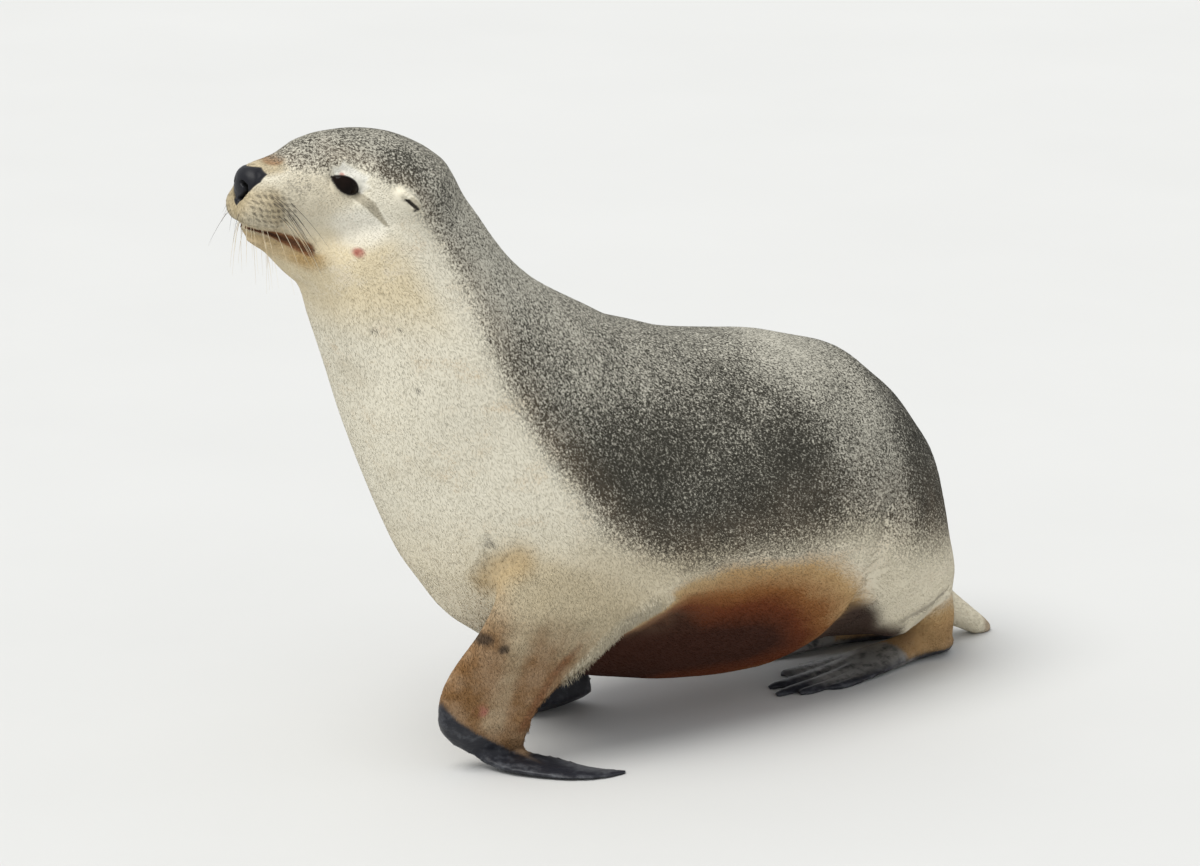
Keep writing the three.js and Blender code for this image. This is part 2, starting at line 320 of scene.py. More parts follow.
FACE_FROM = -52 * MM  # the face is ahead of this, in the head's frame
EAR_AT = np.array([-68, 92, -11]) * MM
EAR_REACH = 27 * MM
EAR_FINE_REACH = 17 * MM
EYE_REACH = 30 * MM
MOUTH_REACH = 8 * MM
NOSE_FROM = 80 * MM
MOUTH = np.array([(106, 0, -62), (98, 9, -63), (91, 15, -64), (77, 24, -66), (66, 31, -69)]) * MM
MOUTH = np.vstack([MOUTH, np.array([(53, 37, -73), (40, 43, -78), (30, 46, -81)]) * MM])


def folded(head):
    """Head places with the right side laid over the left."""
    return head * [1, 0, 1] + np.abs(head) * [0, 1, 0]


def from_side(near, line, apart=18 * MM):
    """Distance to a line on the cheek as seen from the side, where the skin isn't far from the line."""
    flat, along = nearest_on_line(near[:, [0, 2]], line[:, [0, 2]])
    sideways = np.interp(along, length_along(line[:, [0, 2]]), line[:, 1])
    return flat + np.maximum(np.abs(near[:, 1] - sideways) - apart, 0)


def from_mouth(near):
    """Distance to the line where the lips meet."""
    side = from_side(near, MOUTH[1:])
    return np.where(near[:, 1] > 8 * MM, side, nearest_on_line(near, MOUTH[:3])[0])


def face_zone(head):
    return (head[:, 0] > FACE_FROM) | (away(folded(head), EAR_AT) < EAR_REACH)


def fine_zone(head):
    near = folded(head)
    eye = (away(near, EYE_MIDDLE) < EYE_REACH) & (near[:, 1] > EYE_APART)
    mouth = from_mouth(near) < MOUTH_REACH
    nose = (near[:, 0] > NOSE_FROM) & (near[:, 1] < 30 * MM) & (near[:, 2] > -50 * MM)
    ear = away(near, EAR_AT) < EAR_FINE_REACH
    return eye | mouth | nose | ear


def thigh_zone(head):
    """The thighs, where the broad form carries finer folds."""
    y, z = from_head(head)[:, 1:].T
    return (y > 0.16) & (y < 0.44) & (z < 0.25) & (z > 0.03)


def refined(mesh, zone):
    """Splits the faces once where the zone is, which is given in the head's frame."""
    chosen = zone(to_head(points_of(mesh)))
    bm = bmesh.new()
    bm.from_mesh(mesh)
    edges = [e for e in bm.edges if chosen[e.verts[0].index] and chosen[e.verts[1].index]]
    bmesh.ops.subdivide_edges(bm, edges=edges, cuts=1, use_grid_fill=True, smooth=0.0)
    bmesh.ops.triangulate(bm, faces=[f for f in bm.faces if len(f.verts) > 4])
    bm.to_mesh(mesh)
    bm.free()
    inside = zone(to_head(points_of(mesh))).astype(float)
    set_points(mesh, Neighbours(mesh).smooth(points_of(mesh), 2, inside))
    return mesh


def make_blank():
    mesh = remeshed(joined_flesh())
    points = points_of(mesh)
    owner = node_of_each(points)
    neighbours = Neighbours(mesh)
    softening = np.array([SOFTENING[kind_of(node)] for node in FLESH])[owner]
    softening = neighbours.smooth(softening, 30)
    points = neighbours.smooth_and_keep_size(points, SMOOTH_ROUNDS, softening)
    set_points(mesh, points)
    mesh = thinned(mesh, owner)
    mesh = refined(mesh, thigh_zone)
    mesh = refined(mesh, face_zone)
    return refined(mesh, fine_zone)


# ---- sculpting the head ----
# The left eye's opening: which way it faces, which way it runs, its half sizes, and the lids round it.
EYE_FACES = unit(np.array([0.16, 0.985, 0.05]))
EYE_RUNS = unit(np.cross(np.cross(EYE_FACES, [0.905, 0, 0.425]), EYE_FACES))
EYE_UP = np.cross(EYE_RUNS, EYE_FACES)
EYE_HALF_LONG = 18.3 * MM
EYE_HALF_HIGH = 8.7 * MM
LID_THICK = 1.3 * MM
LID_BLEND = 9 * MM
LID_CREASE = 1.0 * MM
BEHIND_THE_BALL = 4 * MM


def eye_measures(near):
    """Round the left eye: along its opening, above its axis, out along its facing, and the distance outside
    the opening's edge."""
    offset = near - EYE_MIDDLE
    along, above, out = offset @ EYE_RUNS, offset @ EYE_UP, offset @ EYE_FACES
    reach = np.clip(np.abs(along) / EYE_HALF_LONG, 0, 1)
    half_high = EYE_HALF_HIGH * (1 - reach**2.2)
    edge = (np.abs(above) - half_high) * np.where(reach < 1, 1 - 0.45 * reach**2, 1)
    beyond = np.hypot(np.maximum(np.abs(along) - EYE_HALF_LONG, 0), above)
    edge = np.where(reach < 1, edge, beyond)
    return along, above, out, edge


def sculpt_eyes(head):
    """Opens the lids: skin inside the opening goes behind the ball, and the lids lie over it."""
    near = folded(head)
    along, above, out, edge = eye_measures(near)
    reach = np.hypot(along, above)
    ball = np.sqrt(np.maximum(EYE_RADIUS**2 - reach**2, (7 * MM) ** 2))
    lid = ball + LID_THICK * smoothstep(-0.4 * MM, 1.2 * MM, edge) + 0.2 * MM
    crease = LID_CREASE * np.exp(-(((edge - 5 * MM) / (1.3 * MM)) ** 2)) * smoothstep(0, 4 * MM, above)
    outer = smoothstep(1.5 * MM, LID_BLEND, edge)
    covered = np.maximum(out, (ball + 0.8 * MM) * within(reach, 16 * MM, 20.5 * MM))
    target = lid * (1 - outer) + covered * outer - crease
    target = np.where(edge < 0, ball - BEHIND_THE_BALL * smoothstep(0, 1.5 * MM, -edge), target)
    chosen = (out > 2 * MM) & (reach < 32 * MM) & (edge < LID_BLEND + 3 * MM)
    moved = near + np.where(chosen, target - out, 0)[:, None] * EYE_FACES
    moved[:, 1] *= np.where(head[:, 1] < 0, -1, 1)
    return moved


NOSE_OUTLINE = [(0, 9), (14, 10), (24, 4), (26, -5), (21, -16), (12, -26), (5, -34), (0, -38)]  # left, up
NOSTRIL = np.array([(9, -9), (15, -12), (16, -19), (11, -26), (6, -29)]) * MM
NOSTRIL_DEPTH = 7 * MM
PHILTRUM = np.array([(112, 0, -32), (110, 0, -48), (104, 0, -63)]) * MM


def nose_edge(near):
    """Signed distance to the bare nose pad's outline seen from in front, positive on the pad."""
    outline = np.array(NOSE_OUTLINE) * MM
    whole = np.vstack([outline, outline[-2:0:-1] * [-1, 1]])
    edge = inside_by(near[:, 1:], whole)
    return np.where(near[:, 0] > NOSE_FROM + 6 * MM, edge, -1)


def groove(distance, depth, width):
    return -depth * np.exp(-((distance / width) ** 2))


LIP = MOUTH[3:] + np.array([0, 3, 10]) * MM
LIP_FILL = 4 * MM
LIP_FRONT = np.array([106, 13, -50]) * MM
JAW_LINE = np.array([(94, 0, -80), (66, 0, -98), (44, 0, -112)]) * MM
JAW_TRIM = 2.5 * MM
LIPS_MEET = np.array([(98, 0, -66), (95, 12, -66)]) * MM
LIPS_FILL = 4.5 * MM
MOUTH_CORNER = np.array([52, 38, -66]) * MM
THROAT = [8, 30, -108]


def soften_places(head, neighbours):
    """Rounds off the joins of the solids at the mouth's corner and under the jaw."""
    near = folded(head)
    corner = within(away(near, MOUTH_CORNER), 16 * MM, 30 * MM)
    throat = oval(near, THROAT, [1.3, 1, 1], 30, 62)
    lips = within(from_mouth(near), 4.5 * MM, 9 * MM) * smoothstep(24 * MM, 34 * MM, near[:, 0])
    chin = within(nearest_on_line(near, LIPS_MEET)[0], 8 * MM, 16 * MM)
    for share, rounds in ((lips, 70), (chin, 180), (corner, 40), (throat, 90)):
        head = neighbours.smooth(head, rounds, share)
    return head


def sculpt_muzzle(head, normals):
    """Nostrils, the groove under the nose and the line of the mouth."""
    near = folded(head)
    push = groove(from_mouth(near), 1.5 * MM, 1.2 * MM)
    push -= groove(from_side(near, LIP), LIP_FILL, 9 * MM)
    push += groove(nearest_on_line(near, PHILTRUM)[0], 1.8 * MM, 1.5 * MM)
    push += groove(nose_edge(near), 0.5 * MM, 1.2 * MM)
    push -= groove(away(near, LIP_FRONT), 4 * MM, 14 * MM)
    push -= groove(nearest_on_line(near, LIPS_MEET)[0], LIPS_FILL, 6 * MM)
    under_jaw = within(near[:, 2], -80 * MM, -70 * MM)
    push += groove(nearest_on_line(near, JAW_LINE)[0], JAW_TRIM, 15 * MM) * under_jaw
    front = near[:, 0] > 98 * MM
    slit = nearest_on_line(near[:, 1:], NOSTRIL)[0]
    moved = head + normals * push[:, None]
    moved[:, 0] -= np.where(front, NOSTRIL_DEPTH * within(slit, 1.2 * MM, 3.4 * MM), 0)
    return moved


EAR_RIDGE = np.array([(-61, 88, -3), (-66, 92, -7), (-71, 95, -11), (-75, 97, -16)]) * MM
EAR_SLIT = EAR_RIDGE + np.array([-2, 0, -6.0]) * MM


def soften_lids(head, neighbours):
    """Evens the skin round the lids, without moving their edge."""
    _, _, out, edge = eye_measures(folded(head))
    ring = smoothstep(2 * MM, 4.5 * MM, edge) * within(edge, 13 * MM, 18 * MM) * (out > 0)
    return neighbours.smooth(head, 24, ring)


def sculpt_ears(head, normals):
    """The rolled flap of each ear, and the slit under it."""
    near = folded(head)
    push = -groove(from_side(near, EAR_RIDGE), 7 * MM, 4.2 * MM)
    push += groove(from_side(near, EAR_SLIT), 3.5 * MM, 1.9 * MM)
    return head + normals * push[:, None]


# ---- folds of the body ----
# Each fold runs along a line on the left side, with its depth and width, and is mirrored on the right.
FOLDS = [  # in millimetres
    ([(139, -330, 300), (128, -312, 268), (118, -318, 236)], 5, 7),
    ([(80, -330, 215), (60, -292, 180)], 2.5, 6),
    ([(70, -352, 255), (50, -318, 205)], 2, 6),
    ([(202, 275, 265), (200, 250, 200), (179, 242, 138)], 5, 13),
    ([(179, 242, 138), (150, 225, 105), (100, 200, 75)], 9, 13),
    ([(192, 310, 200), (180, 320, 150)], -5, 32),
    ([(151, 345, 90), (151, 392, 104), (120, 440, 100)], 2.5, 6),
    ([(140, 310, 64), (128, 350, 60), (105, 390, 60)], -9, 16),
]


def mirrored(points):
    return points * [-1, 1, 1] + [2 * MIDLINE_X, 0, 0]


def sculpt_folds(points, normals):
    push = np.zeros(len(points))
    for line, depth, width in FOLDS:
        for half in (points, mirrored(points)):
            push += groove(nearest_on_line(half, np.array(line) * MM)[0], depth * MM, width * MM)
    return points + normals * push[:, None]


# ---- feet: how far from the heel, and across ----
HEELS = {"left": ((0.0715, 0.4877), 0.0), "right": ((-0.0145, 0.4737), math.radians(24))}
# Grooves: how far across at the toes' root and at the groove's end, and how far ahead it ends.
TOE_LINES = [(26, 34, 255), (9, 24, 300), (-10, 2, 305), (-31, -29, 275)]
TOE_ROOT = 185 * MM


def foot_measures(points, side):
    """Distance ahead of the heel, and across towards the outer edge."""
    heel, splay = HEELS[side]
    sign = SIDES[side]
    turn = sign * splay
    ahead = np.array([math.sin(turn), -math.cos(turn)])
    outward = np.array([math.cos(turn), math.sin(turn)]) * sign
    offset = points[:, :2] - heel
    return offset @ ahead, offset @ outward


def hind_shares(region):
    """Each hind limb's side with its share of the skin."""
    return ("left", region["left_hind"]), ("right", region["hind"] - region["left_hind"])


def sculpt_toes(points, region):
    """Grooves between the toes, on the top of each hind foot."""
    drop = np.zeros(len(points))
    for side, limb in hind_shares(region):
        ahead, across = foot_measures(points, side)
        for start, finish, end in TOE_LINES:
            share = (ahead - TOE_ROOT) / (end * MM - TOE_ROOT)
            middle = (start + (finish - start) * share) * MM
            on = smoothstep(-0.5, 0.2, share) * limb
            drop += on * groove(across - middle, 2.2 * MM, 3.5 * MM)
    return points + np.where(points[:, 2] > 4 * MM, drop, 0)[:, None] * [0, 0, 1]


# ---- the skin ----
# Depth of the coat over the skin, in millimetres.
COAT_DEPTH = {"neck": 2.4, "chest": 2.6, "belly": 2.6, "rump": 2.6}
COAT_DEPTH |= {"head": 1.3, "muzzle": 0.7, "lower_jaw": 0.8, "nose": 0, "ear": 0.6}
COAT_DEPTH |= {"arm": 1.6, "flipper": 0.3, "ankle": 1.4, "foot": 0.3, "tail": 1.2}
REGIONS = {
    "head": HEAD_NODES,
    "arm": ["arm_left", "arm_right", "flipper_left", "flipper_right"],
    "left_arm": ["arm_left", "flipper_left"],
    "hind": ["ankle_left", "ankle_right", "foot_left", "foot_right"],
    "left_hind": ["ankle_left", "foot_left"],
    "tail": ["tail"],
}
REGION_SOFT_ROUNDS = 6
THIGH = np.array([0.195, 0.280, 0.165])
TAIL_DROP = np.array([0, 0, -6 * MM])
TAIL_FILL = 5.5 * MM


def thigh_share(points):
    """1 on the broad side of either thigh."""
    nearest = np.minimum(away(points, THIGH), away(mirrored(points), THIGH))
    return within(nearest, 70 * MM, 120 * MM)


def make_skin():
    mesh = make_blank()
    shade_smooth(mesh)
    points = points_of(mesh)
    owner = node_of_each(points)
    neighbours = Neighbours(mesh)
    region = {}
    for name, nodes in REGIONS.items():
        region[name] = neighbours.smooth(share_of(owner, nodes), REGION_SOFT_ROUNDS)
    depth = np.array([COAT_DEPTH[kind_of(node)] for node in FLESH])[owner] * MM
    points -= normals_of(mesh) * neighbours.smooth(depth + FATTEN, 8)[:, None]
    normals = normals_of(mesh)
    head = soften_places(to_head(points), neighbours)
    head_normals = normals @ HEAD_AXES.T
    on_head = region["head"] > 0.02
    sculpted = sculpt_ears(sculpt_muzzle(head, head_normals), head_normals)
    opened = soften_lids(sculpt_eyes(sculpted), neighbours)
    points = np.where(on_head[:, None], from_head(opened), from_head(head))
    points = neighbours.smooth_and_keep_size(points, 60, thigh_share(points))
    points = sculpt_folds(points, normals)
    points = sculpt_toes(points, region)
    points += TAIL_DROP * region["tail"][:, None] + normals * (TAIL_FILL * region["tail"])[:, None]
    points[:, 2] = np.maximum(points[:, 2], 0)
    set_points(mesh, points)
    return mesh, region


# ---- markings, the same for skin and coat ----
# Outlines seen from the side, as (y, z).
GREY_BACK = np.array([
    (-560, 810), (-538, 785), (-522, 775), (-507, 772), (-492, 772), (-480, 781), (-466, 779), (-448, 771),
    (-433, 756), (-419, 750), (-403, 739), (-396, 718), (-377, 688), (-366, 660), (-350, 632), (-336, 605),
    (-323, 559), (-309, 512), (-290, 471), (-262, 425), (-226, 374), (-190, 323), (-150, 275), (-105, 248),
    (-63, 238), (13, 236), (108, 232), (192, 236), (246, 228), (326, 195), (420, 180), (620, 300),
    (620, 950), (-700, 950)
]) * MM
RUST_BELLY = np.array([
    (-200, 0), (-190, 130), (-171, 156), (-141, 184), (-102, 210), (-47, 229), (10, 232), (80, 226),
    (140, 206), (205, 156), (232, 125), (245, 80), (245, 0)
]) * MM
# Painted shade lies in the recess under each thigh and along the thigh's crease.
UNDER_THIGH = np.array([
    (205, 60), (218, 100), (236, 130), (262, 126), (285, 110), (306, 84), (340, 74), (360, 40), (360, 0),
    (200, 0)
]) * MM
THIGH_CREASE = np.array([(320, 80), (345, 88), (375, 96), (400, 102), (430, 100)]) * MM
HIP_LIGHT = np.array([(205, 440), (232, 383), (245, 303), (258, 230)]) * MM
RUMP_DARK = np.array([(320, 345), (345, 300), (345, 262)]) * MM
HAND_SOLE = np.array([
    (-375, 125), (-353, 100), (-347, 87), (-335, 72), (-315, 56), (-295, 43), (-254, 18), (-244, 13),
    (-100, 13), (-100, -100), (-500, -100), (-500, 125)
]) * MM
RIGHT_HAND_TOP = 0.065
FOOT_LEATHER_FROM = 0.100  # ahead of the heel
SOLE_TOP = 0.014

# Spots: middle and radius, in millimetres.
DARK_SPOTS = [
    (95, -453, 580, 4), (114, -430, 581, 3), (122, -408, 505, 4), (148, -323, 559, 5), (139, -318, 302, 5),
    (149, -304, 170, 7), (135, -323, 183, 9), (107, -420, 560, 2), (85, -440, 540, 2),
]
RED_SPOTS = [(88, -468, 674, 6), (115, -314, 85, 9), (101, 367, 16, 12)]
SPOT_REACH = [0.3, 1, 1]  # a spot reaches further through the body than over it
ARMPIT = np.array([(122, -316, 245), (140, -306, 268), (156, -288, 280)]) * MM
# The crease behind each fore limb, where painted shade lies.
ARM_CREASE = np.array([
    (185, -190, 190), (174, -201, 169), (153, -224, 130), (141, -237, 104), (124, -258, 55)
]) * MM
ARM_PALE = np.array([(165, -283, 235), (148, -288, 147), (117, -298, 65)]) * MM
WEB_SHADE = np.array([(190, -200, 260), (195, -130, 235), (200, -50, 245)]) * MM
WEB_EDGE = np.array([(147, -203, 112), (168, -173, 150), (185, -147, 181), (196, -109, 204)]) * MM
TEAR_STREAK = np.array([(-8, -9), (-24, -20), (-46, -42)]) * MM  # forward, up
LID_SORE = np.array([9, 12]) * MM  # forward, up
# Ovals on the head: middle, reach along each axis, and the shares of it where the mark is full and ends.
LIP_PAD = ([82, 26, -36], [34, 40, 25], 0.8, 1.05)
FACE_OVALS = {
    "jaw": ([34, 45, -92], [30, 24, 11], 0.1, 1.4),
    "muzzle": ([80, 0, -34], [48, 52, 36], 0.7, 1.2),
    "bridge": ([73, 8, 18], [18, 15, 10], 0.5, 1.25),
    "snout": ([84, 8, 12], [30, 26, 14], 0.6, 1.3),
    "front": ([38, 40, -18], [62, 42, 36], 0.5, 1.2),
    "ash": ([52, 38, -4], [30, 26, 22], 0.3, 1.2),
    "temple": ([-64, 70, 24], 1, 16, 44),
    "cheek": ([-20, 66, -50], [1.6, 1, 1], 14, 34),
    "ear": ([-58, 86, -10], 1, 8, 22),
}
ON_HEAD_ONLY = ["tan", "jaw", "ash", "bridge", "stain", "core", "slit", "nose", "follicles"]
FOLLICLE_ROWS = 7 * MM
FOLLICLE_GAPS = 7.5 * MM
FOLLICLE_SIZE = 1.3 * MM


def spots(points, places):
    """1 on any of the spots, which lie on both sides only where they are given twice."""
    found = np.zeros(len(points))
    for *middle, radius in places:
        distance = np.linalg.norm((points / MM - middle) * SPOT_REACH, axis=1)
        found = np.maximum(found, within(distance, 0.5 * radius, 1.3 * radius))
    return found


def beside(points, line, full, none):
    """1 along the line on either side of the body."""
    nearest = [nearest_on_line(half, line)[0] for half in (points, mirrored(points))]
    return within(np.minimum(*nearest), full * MM, none * MM)


def leather_share(points, region):
    hand_edge = inside_by(points[:, 1:], HAND_SOLE)
    left = smoothstep(-3 * MM, 3 * MM, hand_edge) * region["left_arm"]
    right_edge = RIGHT_HAND_TOP - points[:, 2]
    right = smoothstep(-3 * MM, 3 * MM, right_edge) * (region["arm"] - region["left_arm"])
    hind = np.zeros(len(points))
    for side, share in hind_shares(region):
        ahead, across = foot_measures(points, side)
        edge = np.maximum(ahead - FOOT_LEATHER_FROM, SOLE_TOP - points[:, 2])
        hind += smoothstep(-6 * MM, 6 * MM, edge) * share
    return np.clip(left + right + hind, 0, 1)


def follicles(near):
    """Dark dots in staggered rows on the lip pads, drawn out the way the hair lies."""
    near = near + 1.1 * MM * np.sin(near[:, [2, 0, 1]] * 330)
    row = np.round(near[:, 2] / FOLLICLE_ROWS)
    place = near[:, 0] / FOLLICLE_GAPS + 0.5 * (row % 2)
    across, behind = near[:, 2] - row * FOLLICLE_ROWS, (place - np.round(place)) * FOLLICLE_GAPS
    gap = np.hypot(across - 0.5 * behind, 0.6 * behind)
    return within(gap, FOLLICLE_SIZE, FOLLICLE_SIZE * 1.8) * oval(near, *LIP_PAD)


def tear_streak(flat):
    """The damp streak behind the eye: its lower edge is crisp, its upper edge soft."""
    start, end = TEAR_STREAK[0], TEAR_STREAK[-1]
    run = unit(end - start)
    over = (flat - start) @ np.array([run[1], -run[0]])
    taper = 1 - 0.7 * smoothstep(0.35, 1.1, (flat - start) @ run / np.linalg.norm(end - start))
    edge = np.where(over > 0, 7.5 * MM, 5.6 * MM) * taper
    full = edge * np.where(over > 0, 0.61, 0.82)
    return smoothstep(0, 1, (edge - nearest_on_line(flat, TEAR_STREAK)[0]) / (edge - full))


def head_marks(head, region):
    """Marks that belong to the face, from places in the head's frame."""
    near = folded(head)
    along, above, out, eye_edge = eye_measures(near)
    beside_nose = near[:, 1] > 12 * MM
    side_face = beside_nose & (out > 0)
    flat = near[:, [0, 2]]
    lid_reach = 5 * MM + 8 * MM * smoothstep(2 * MM, 13 * MM, above)
    lower_lid = within(eye_edge, 2.5 * MM, 4.5 * MM) * smoothstep(0, -4 * MM, above)
    over_lid = smoothstep(-7 * MM, 3 * MM, above - 0.3 * along)
    pale = within(eye_edge, 0.75 * lid_reach, 1.2 * lid_reach) * over_lid
    mouth = from_mouth(near)
    lip_line = np.interp(near[:, 0], MOUTH[::-1, 0], MOUTH[::-1, 2])
    corner = smoothstep(95 * MM, 42 * MM, near[:, 0])
    on_lips = smoothstep(18 * MM, 34 * MM, near[:, 0])
    stain = within(mouth, (0.8 + 2.5 * corner) * MM, (2.5 + 9 * corner) * MM) * on_lips
    core = within(mouth, (0.5 + 1.2 * corner) * MM, (1.6 + 3.5 * corner) * MM) * on_lips
    under_lip = lip_line - near[:, 2]
    # Partly painted shade: the band under the lower lip is darkened to ochre, over the jaw's own yellow-brown
    # hair.
    jaw = smoothstep(1 * MM, 7 * MM, under_lip) * within(under_lip, 17 * MM, 32 * MM)
    jaw *= smoothstep(6 * MM, 24 * MM, near[:, 0]) * (near[:, 1] < 60 * MM)
    lip_shade = within(mouth, 5 * MM, 19 * MM) * on_lips
    oval_of = {name: oval(near, *place) for name, place in FACE_OVALS.items()}
    rim = within(eye_edge, 1.0 * MM, 2.6 * MM) * (out > 2 * MM)
    # Painted shade: the slit under each ear's flap is painted near black.
    slit = within(from_side(near, EAR_SLIT), 1.0 * MM, 2.1 * MM)
    leaf = within(from_side(near, EAR_RIDGE[1:] - [0, 0, 1 * MM]), 2.6 * MM, 4.4 * MM)
    # Painted shade: the inside of each nostril is painted almost black.
    nostril = within(nearest_on_line(near[:, 1:], NOSTRIL)[0], 1.8 * MM, 3.6 * MM) * (near[:, 0] > 92 * MM)
    pad = oval_of["muzzle"] * (0.35 + 0.65 * smoothstep(50 * MM, 84 * MM, near[:, 0]))
    marks = {
        "pale": pale * side_face,
        "tear": np.maximum.reduce([tear_streak(flat), 0.85 * leaf, 0.8 * lower_lid]) * side_face,
        "stain": stain,
        "core": core * (1 - 0.45 * corner),
        "jaw": 0.55 * jaw + 0.35 * oval_of["jaw"],
        "ash": oval_of["ash"] * side_face,
        "temple": oval_of["temple"],
        "sore": within(away(flat, LID_SORE), 1.5 * MM, 4.2 * MM) * side_face,
        "cheek": oval_of["cheek"],
        "nostril": nostril,
        "tan": np.maximum.reduce([pad, 0.85 * oval_of["snout"], 0.4 * oval_of["front"], 0.7 * lip_shade]),
        "bridge": oval_of["bridge"],
        "rim": rim * side_face,
        "slit": slit,
        "nose": smoothstep(-1.2 * MM, 0.6 * MM, nose_edge(near)),
        "follicles": follicles(near),
        "pale ear": oval_of["ear"],
    }
    for name in ON_HEAD_ONLY:
        marks[name] = marks[name] * region["head"]
    return marks


def along_side(side_view, line, full, none):
    """1 along a line drawn on the side view."""
    return within(nearest_on_line(side_view, line)[0], full * MM, none * MM)


def markings(points, region):
    """Shares of each marking at the points, from 0 to 1."""
    side_view = points[:, 1:]
    face = head_marks(to_head(points), region)
    x, y, z = points.T
    body = (1 - region["arm"]) * (1 - region["hind"]) * (1 - region["tail"])
    back_edge = inside_by(side_view, GREY_BACK)
    soft = 135 * MM - 75 * MM * smoothstep(0.24, 0.36, z) * smoothstep(0.10, -0.05, y)
    soft = soft - (soft - 34 * MM) * smoothstep(0.60, 0.72, z)
    grey = smoothstep(-1, 1, back_edge / soft) * body
    grey = np.maximum.reduce([grey, 0.9 * along_side(side_view, RUMP_DARK, 8, 50) * body, 0.40 * face["ash"]])
    grey *= (1 - face["pale"]) * (1 - 0.8 * face["pale ear"])
    hip = along_side(side_view, HIP_LIGHT, 20, 115)
    # Painted light and shade: the coat has more pale hairs higher up the back and neck and fewer low on the
    # flank.
    light = 0.13 + 0.33 * smoothstep(0.37, 0.51, z) + 0.20 * smoothstep(0.50, 0.66, z) + 0.41 * hip
    light -= 0.08 * along_side(side_view, RUMP_DARK, 15, 50) + 0.24 * face["temple"]
    light += 0.2 * face["ash"] - 0.14 * region["head"]
    rear = smoothstep(0.06, 0.20, y)
    belly_edge = inside_by(side_view, RUST_BELLY) * (1 + 3 * within(y, -0.12, -0.02)) * (1 - 0.45 * rear)
    off_limbs = (1 - region["arm"]) * (1 - region["hind"])
    rust = np.clip((belly_edge + (10 + 14 * rear) * MM) / (105 * MM), 0, 1) * off_limbs
    arm_height = z + 0.6 * (y + 0.25)
    streak = beside(points, ARM_PALE, 5, 30)
    lower_arm = region["arm"] * smoothstep(0.28, 0.09, arm_height) * (1 - 0.38 * streak)
    upper_arm = region["arm"] * smoothstep(0.38, 0.25, arm_height)
    # Painted shade: brown along the crease behind each fore limb, stronger low down.
    crease = beside(points, ARM_CREASE, 2, 14) * region["arm"] * smoothstep(0.22, 0.12, z)
    heel = region["hind"] * smoothstep(0.075, 0.02, z)
    tail = region["tail"] * smoothstep(0.55, 0.58, y)
    armpit = beside(points, ARMPIT, 5, 34)
    off_web_edge = 1 - 0.8 * beside(points, WEB_EDGE, 2, 17)
    web = 0.42 * beside(points, WEB_SHADE, 8, 62)
    rust = np.maximum(rust, 0.22 * region["hind"] * smoothstep(0.105, 0.05, z))
    brown = np.maximum.reduce([0.95 * lower_arm, 0.5 * heel, 0.6 * tail, 0.85 * face["bridge"]])
    brown = brown * off_web_edge
    tan = np.maximum.reduce([face["tan"], 0.75 * upper_arm, 0.6 * armpit, web]) * off_web_edge
    # Painted shade: near black in the recess under each thigh and along its crease.
    under = smoothstep(-20 * MM, 14 * MM, inside_by(side_view, UNDER_THIGH)) * body
    dark = np.maximum(under, 0.55 * along_side(side_view, THIGH_CREASE, 1, 6) * body)
    spotted = 0.8 * spots(points, DARK_SPOTS)
    # Near black: the lids' rim, the nose pad, spots, follicles, and painted shade in the ears' slits.
    black = np.maximum.reduce([face["rim"], face["slit"], face["nose"], spotted, 0.55 * face["follicles"]])
    yellow = smoothstep(0.55, 0.63, z) * within(z, 0.67, 0.72) * region_neck_front(points)
    yellow += 0.2 * armpit + 0.4 * within(z, 0.24, 0.36)
    # A grey over the top of each hind foot, full on its inner part and fading towards the outer edge, heel
    # and toes.
    foot_top = np.zeros(len(points))
    for side, share in hind_shares(region):
        ahead, across = foot_measures(points, side)
        lengthwise = smoothstep(0.27, 0.21, ahead) * smoothstep(0.07, 0.10, ahead)
        foot_top += smoothstep(40 * MM, 22 * MM, across) * lengthwise * share
    return {
        "grey": grey,
        "light": np.clip(light, 0.05, 0.9),
        "rust": rust,
        "tan": tan,
        "brown": brown,
        "dark": dark,
        "leather": leather_share(points, region),
        "dust": foot_top,
        # The mouth's stain, together with the painted shade of the arm's crease.
        "stain": np.maximum(face["stain"], 0.6 * crease),
        "core": face["core"],
        "jaw": np.maximum(face["jaw"], 0.5 * armpit),
        "nostril": face["nostril"],
        "tear": face["tear"],
        "pale": np.maximum(face["pale"], 0.55 * face["cheek"] * (1 - grey)),
        "yellow": np.clip(yellow, 0, 1),
        "black": black,
        "red": np.maximum(spots(points, RED_SPOTS), 0.8 * face["sore"]),
        "nose": face["nose"],
    }


def region_neck_front(points):
    """1 on the throat, falling towards the nape."""
    ahead = points[:, 1] - np.interp(points[:, 2], SPINE[3:8, 1], SPINE[3:8, 0])
    return smoothstep(0.0, -0.05, ahead)


# ---- shader maths ----
class Value:
    """A number's socket that takes Python's operators."""

    def __init__(self, graph, socket):
        self.graph = graph
        self.socket = socket

    def math(self, operation, *values):
        node = self.graph.node("ShaderNodeMath", {"operation": operation}, *values)
        return Value(self.graph, node.outputs[0])

    def __add__(self, other):
        return self.math("ADD", self, other)

    def __sub__(self, other):
        return self.math("SUBTRACT", self, other)

    def __mul__(self, other):
        return self.math("MULTIPLY", self, other)

    def __rsub__(self, other):
        return self.math("SUBTRACT", other, self)

    __radd__ = __add__
    __rmul__ = __mul__

    def ease(self, low, high):
        """0 below low, 1 above high, smooth between."""
        settings = {"interpolation_type": "SMOOTHSTEP"}
        node = self.graph.node("ShaderNodeMapRange", settings, self, low, high)
        return Value(self.graph, node.outputs[0])


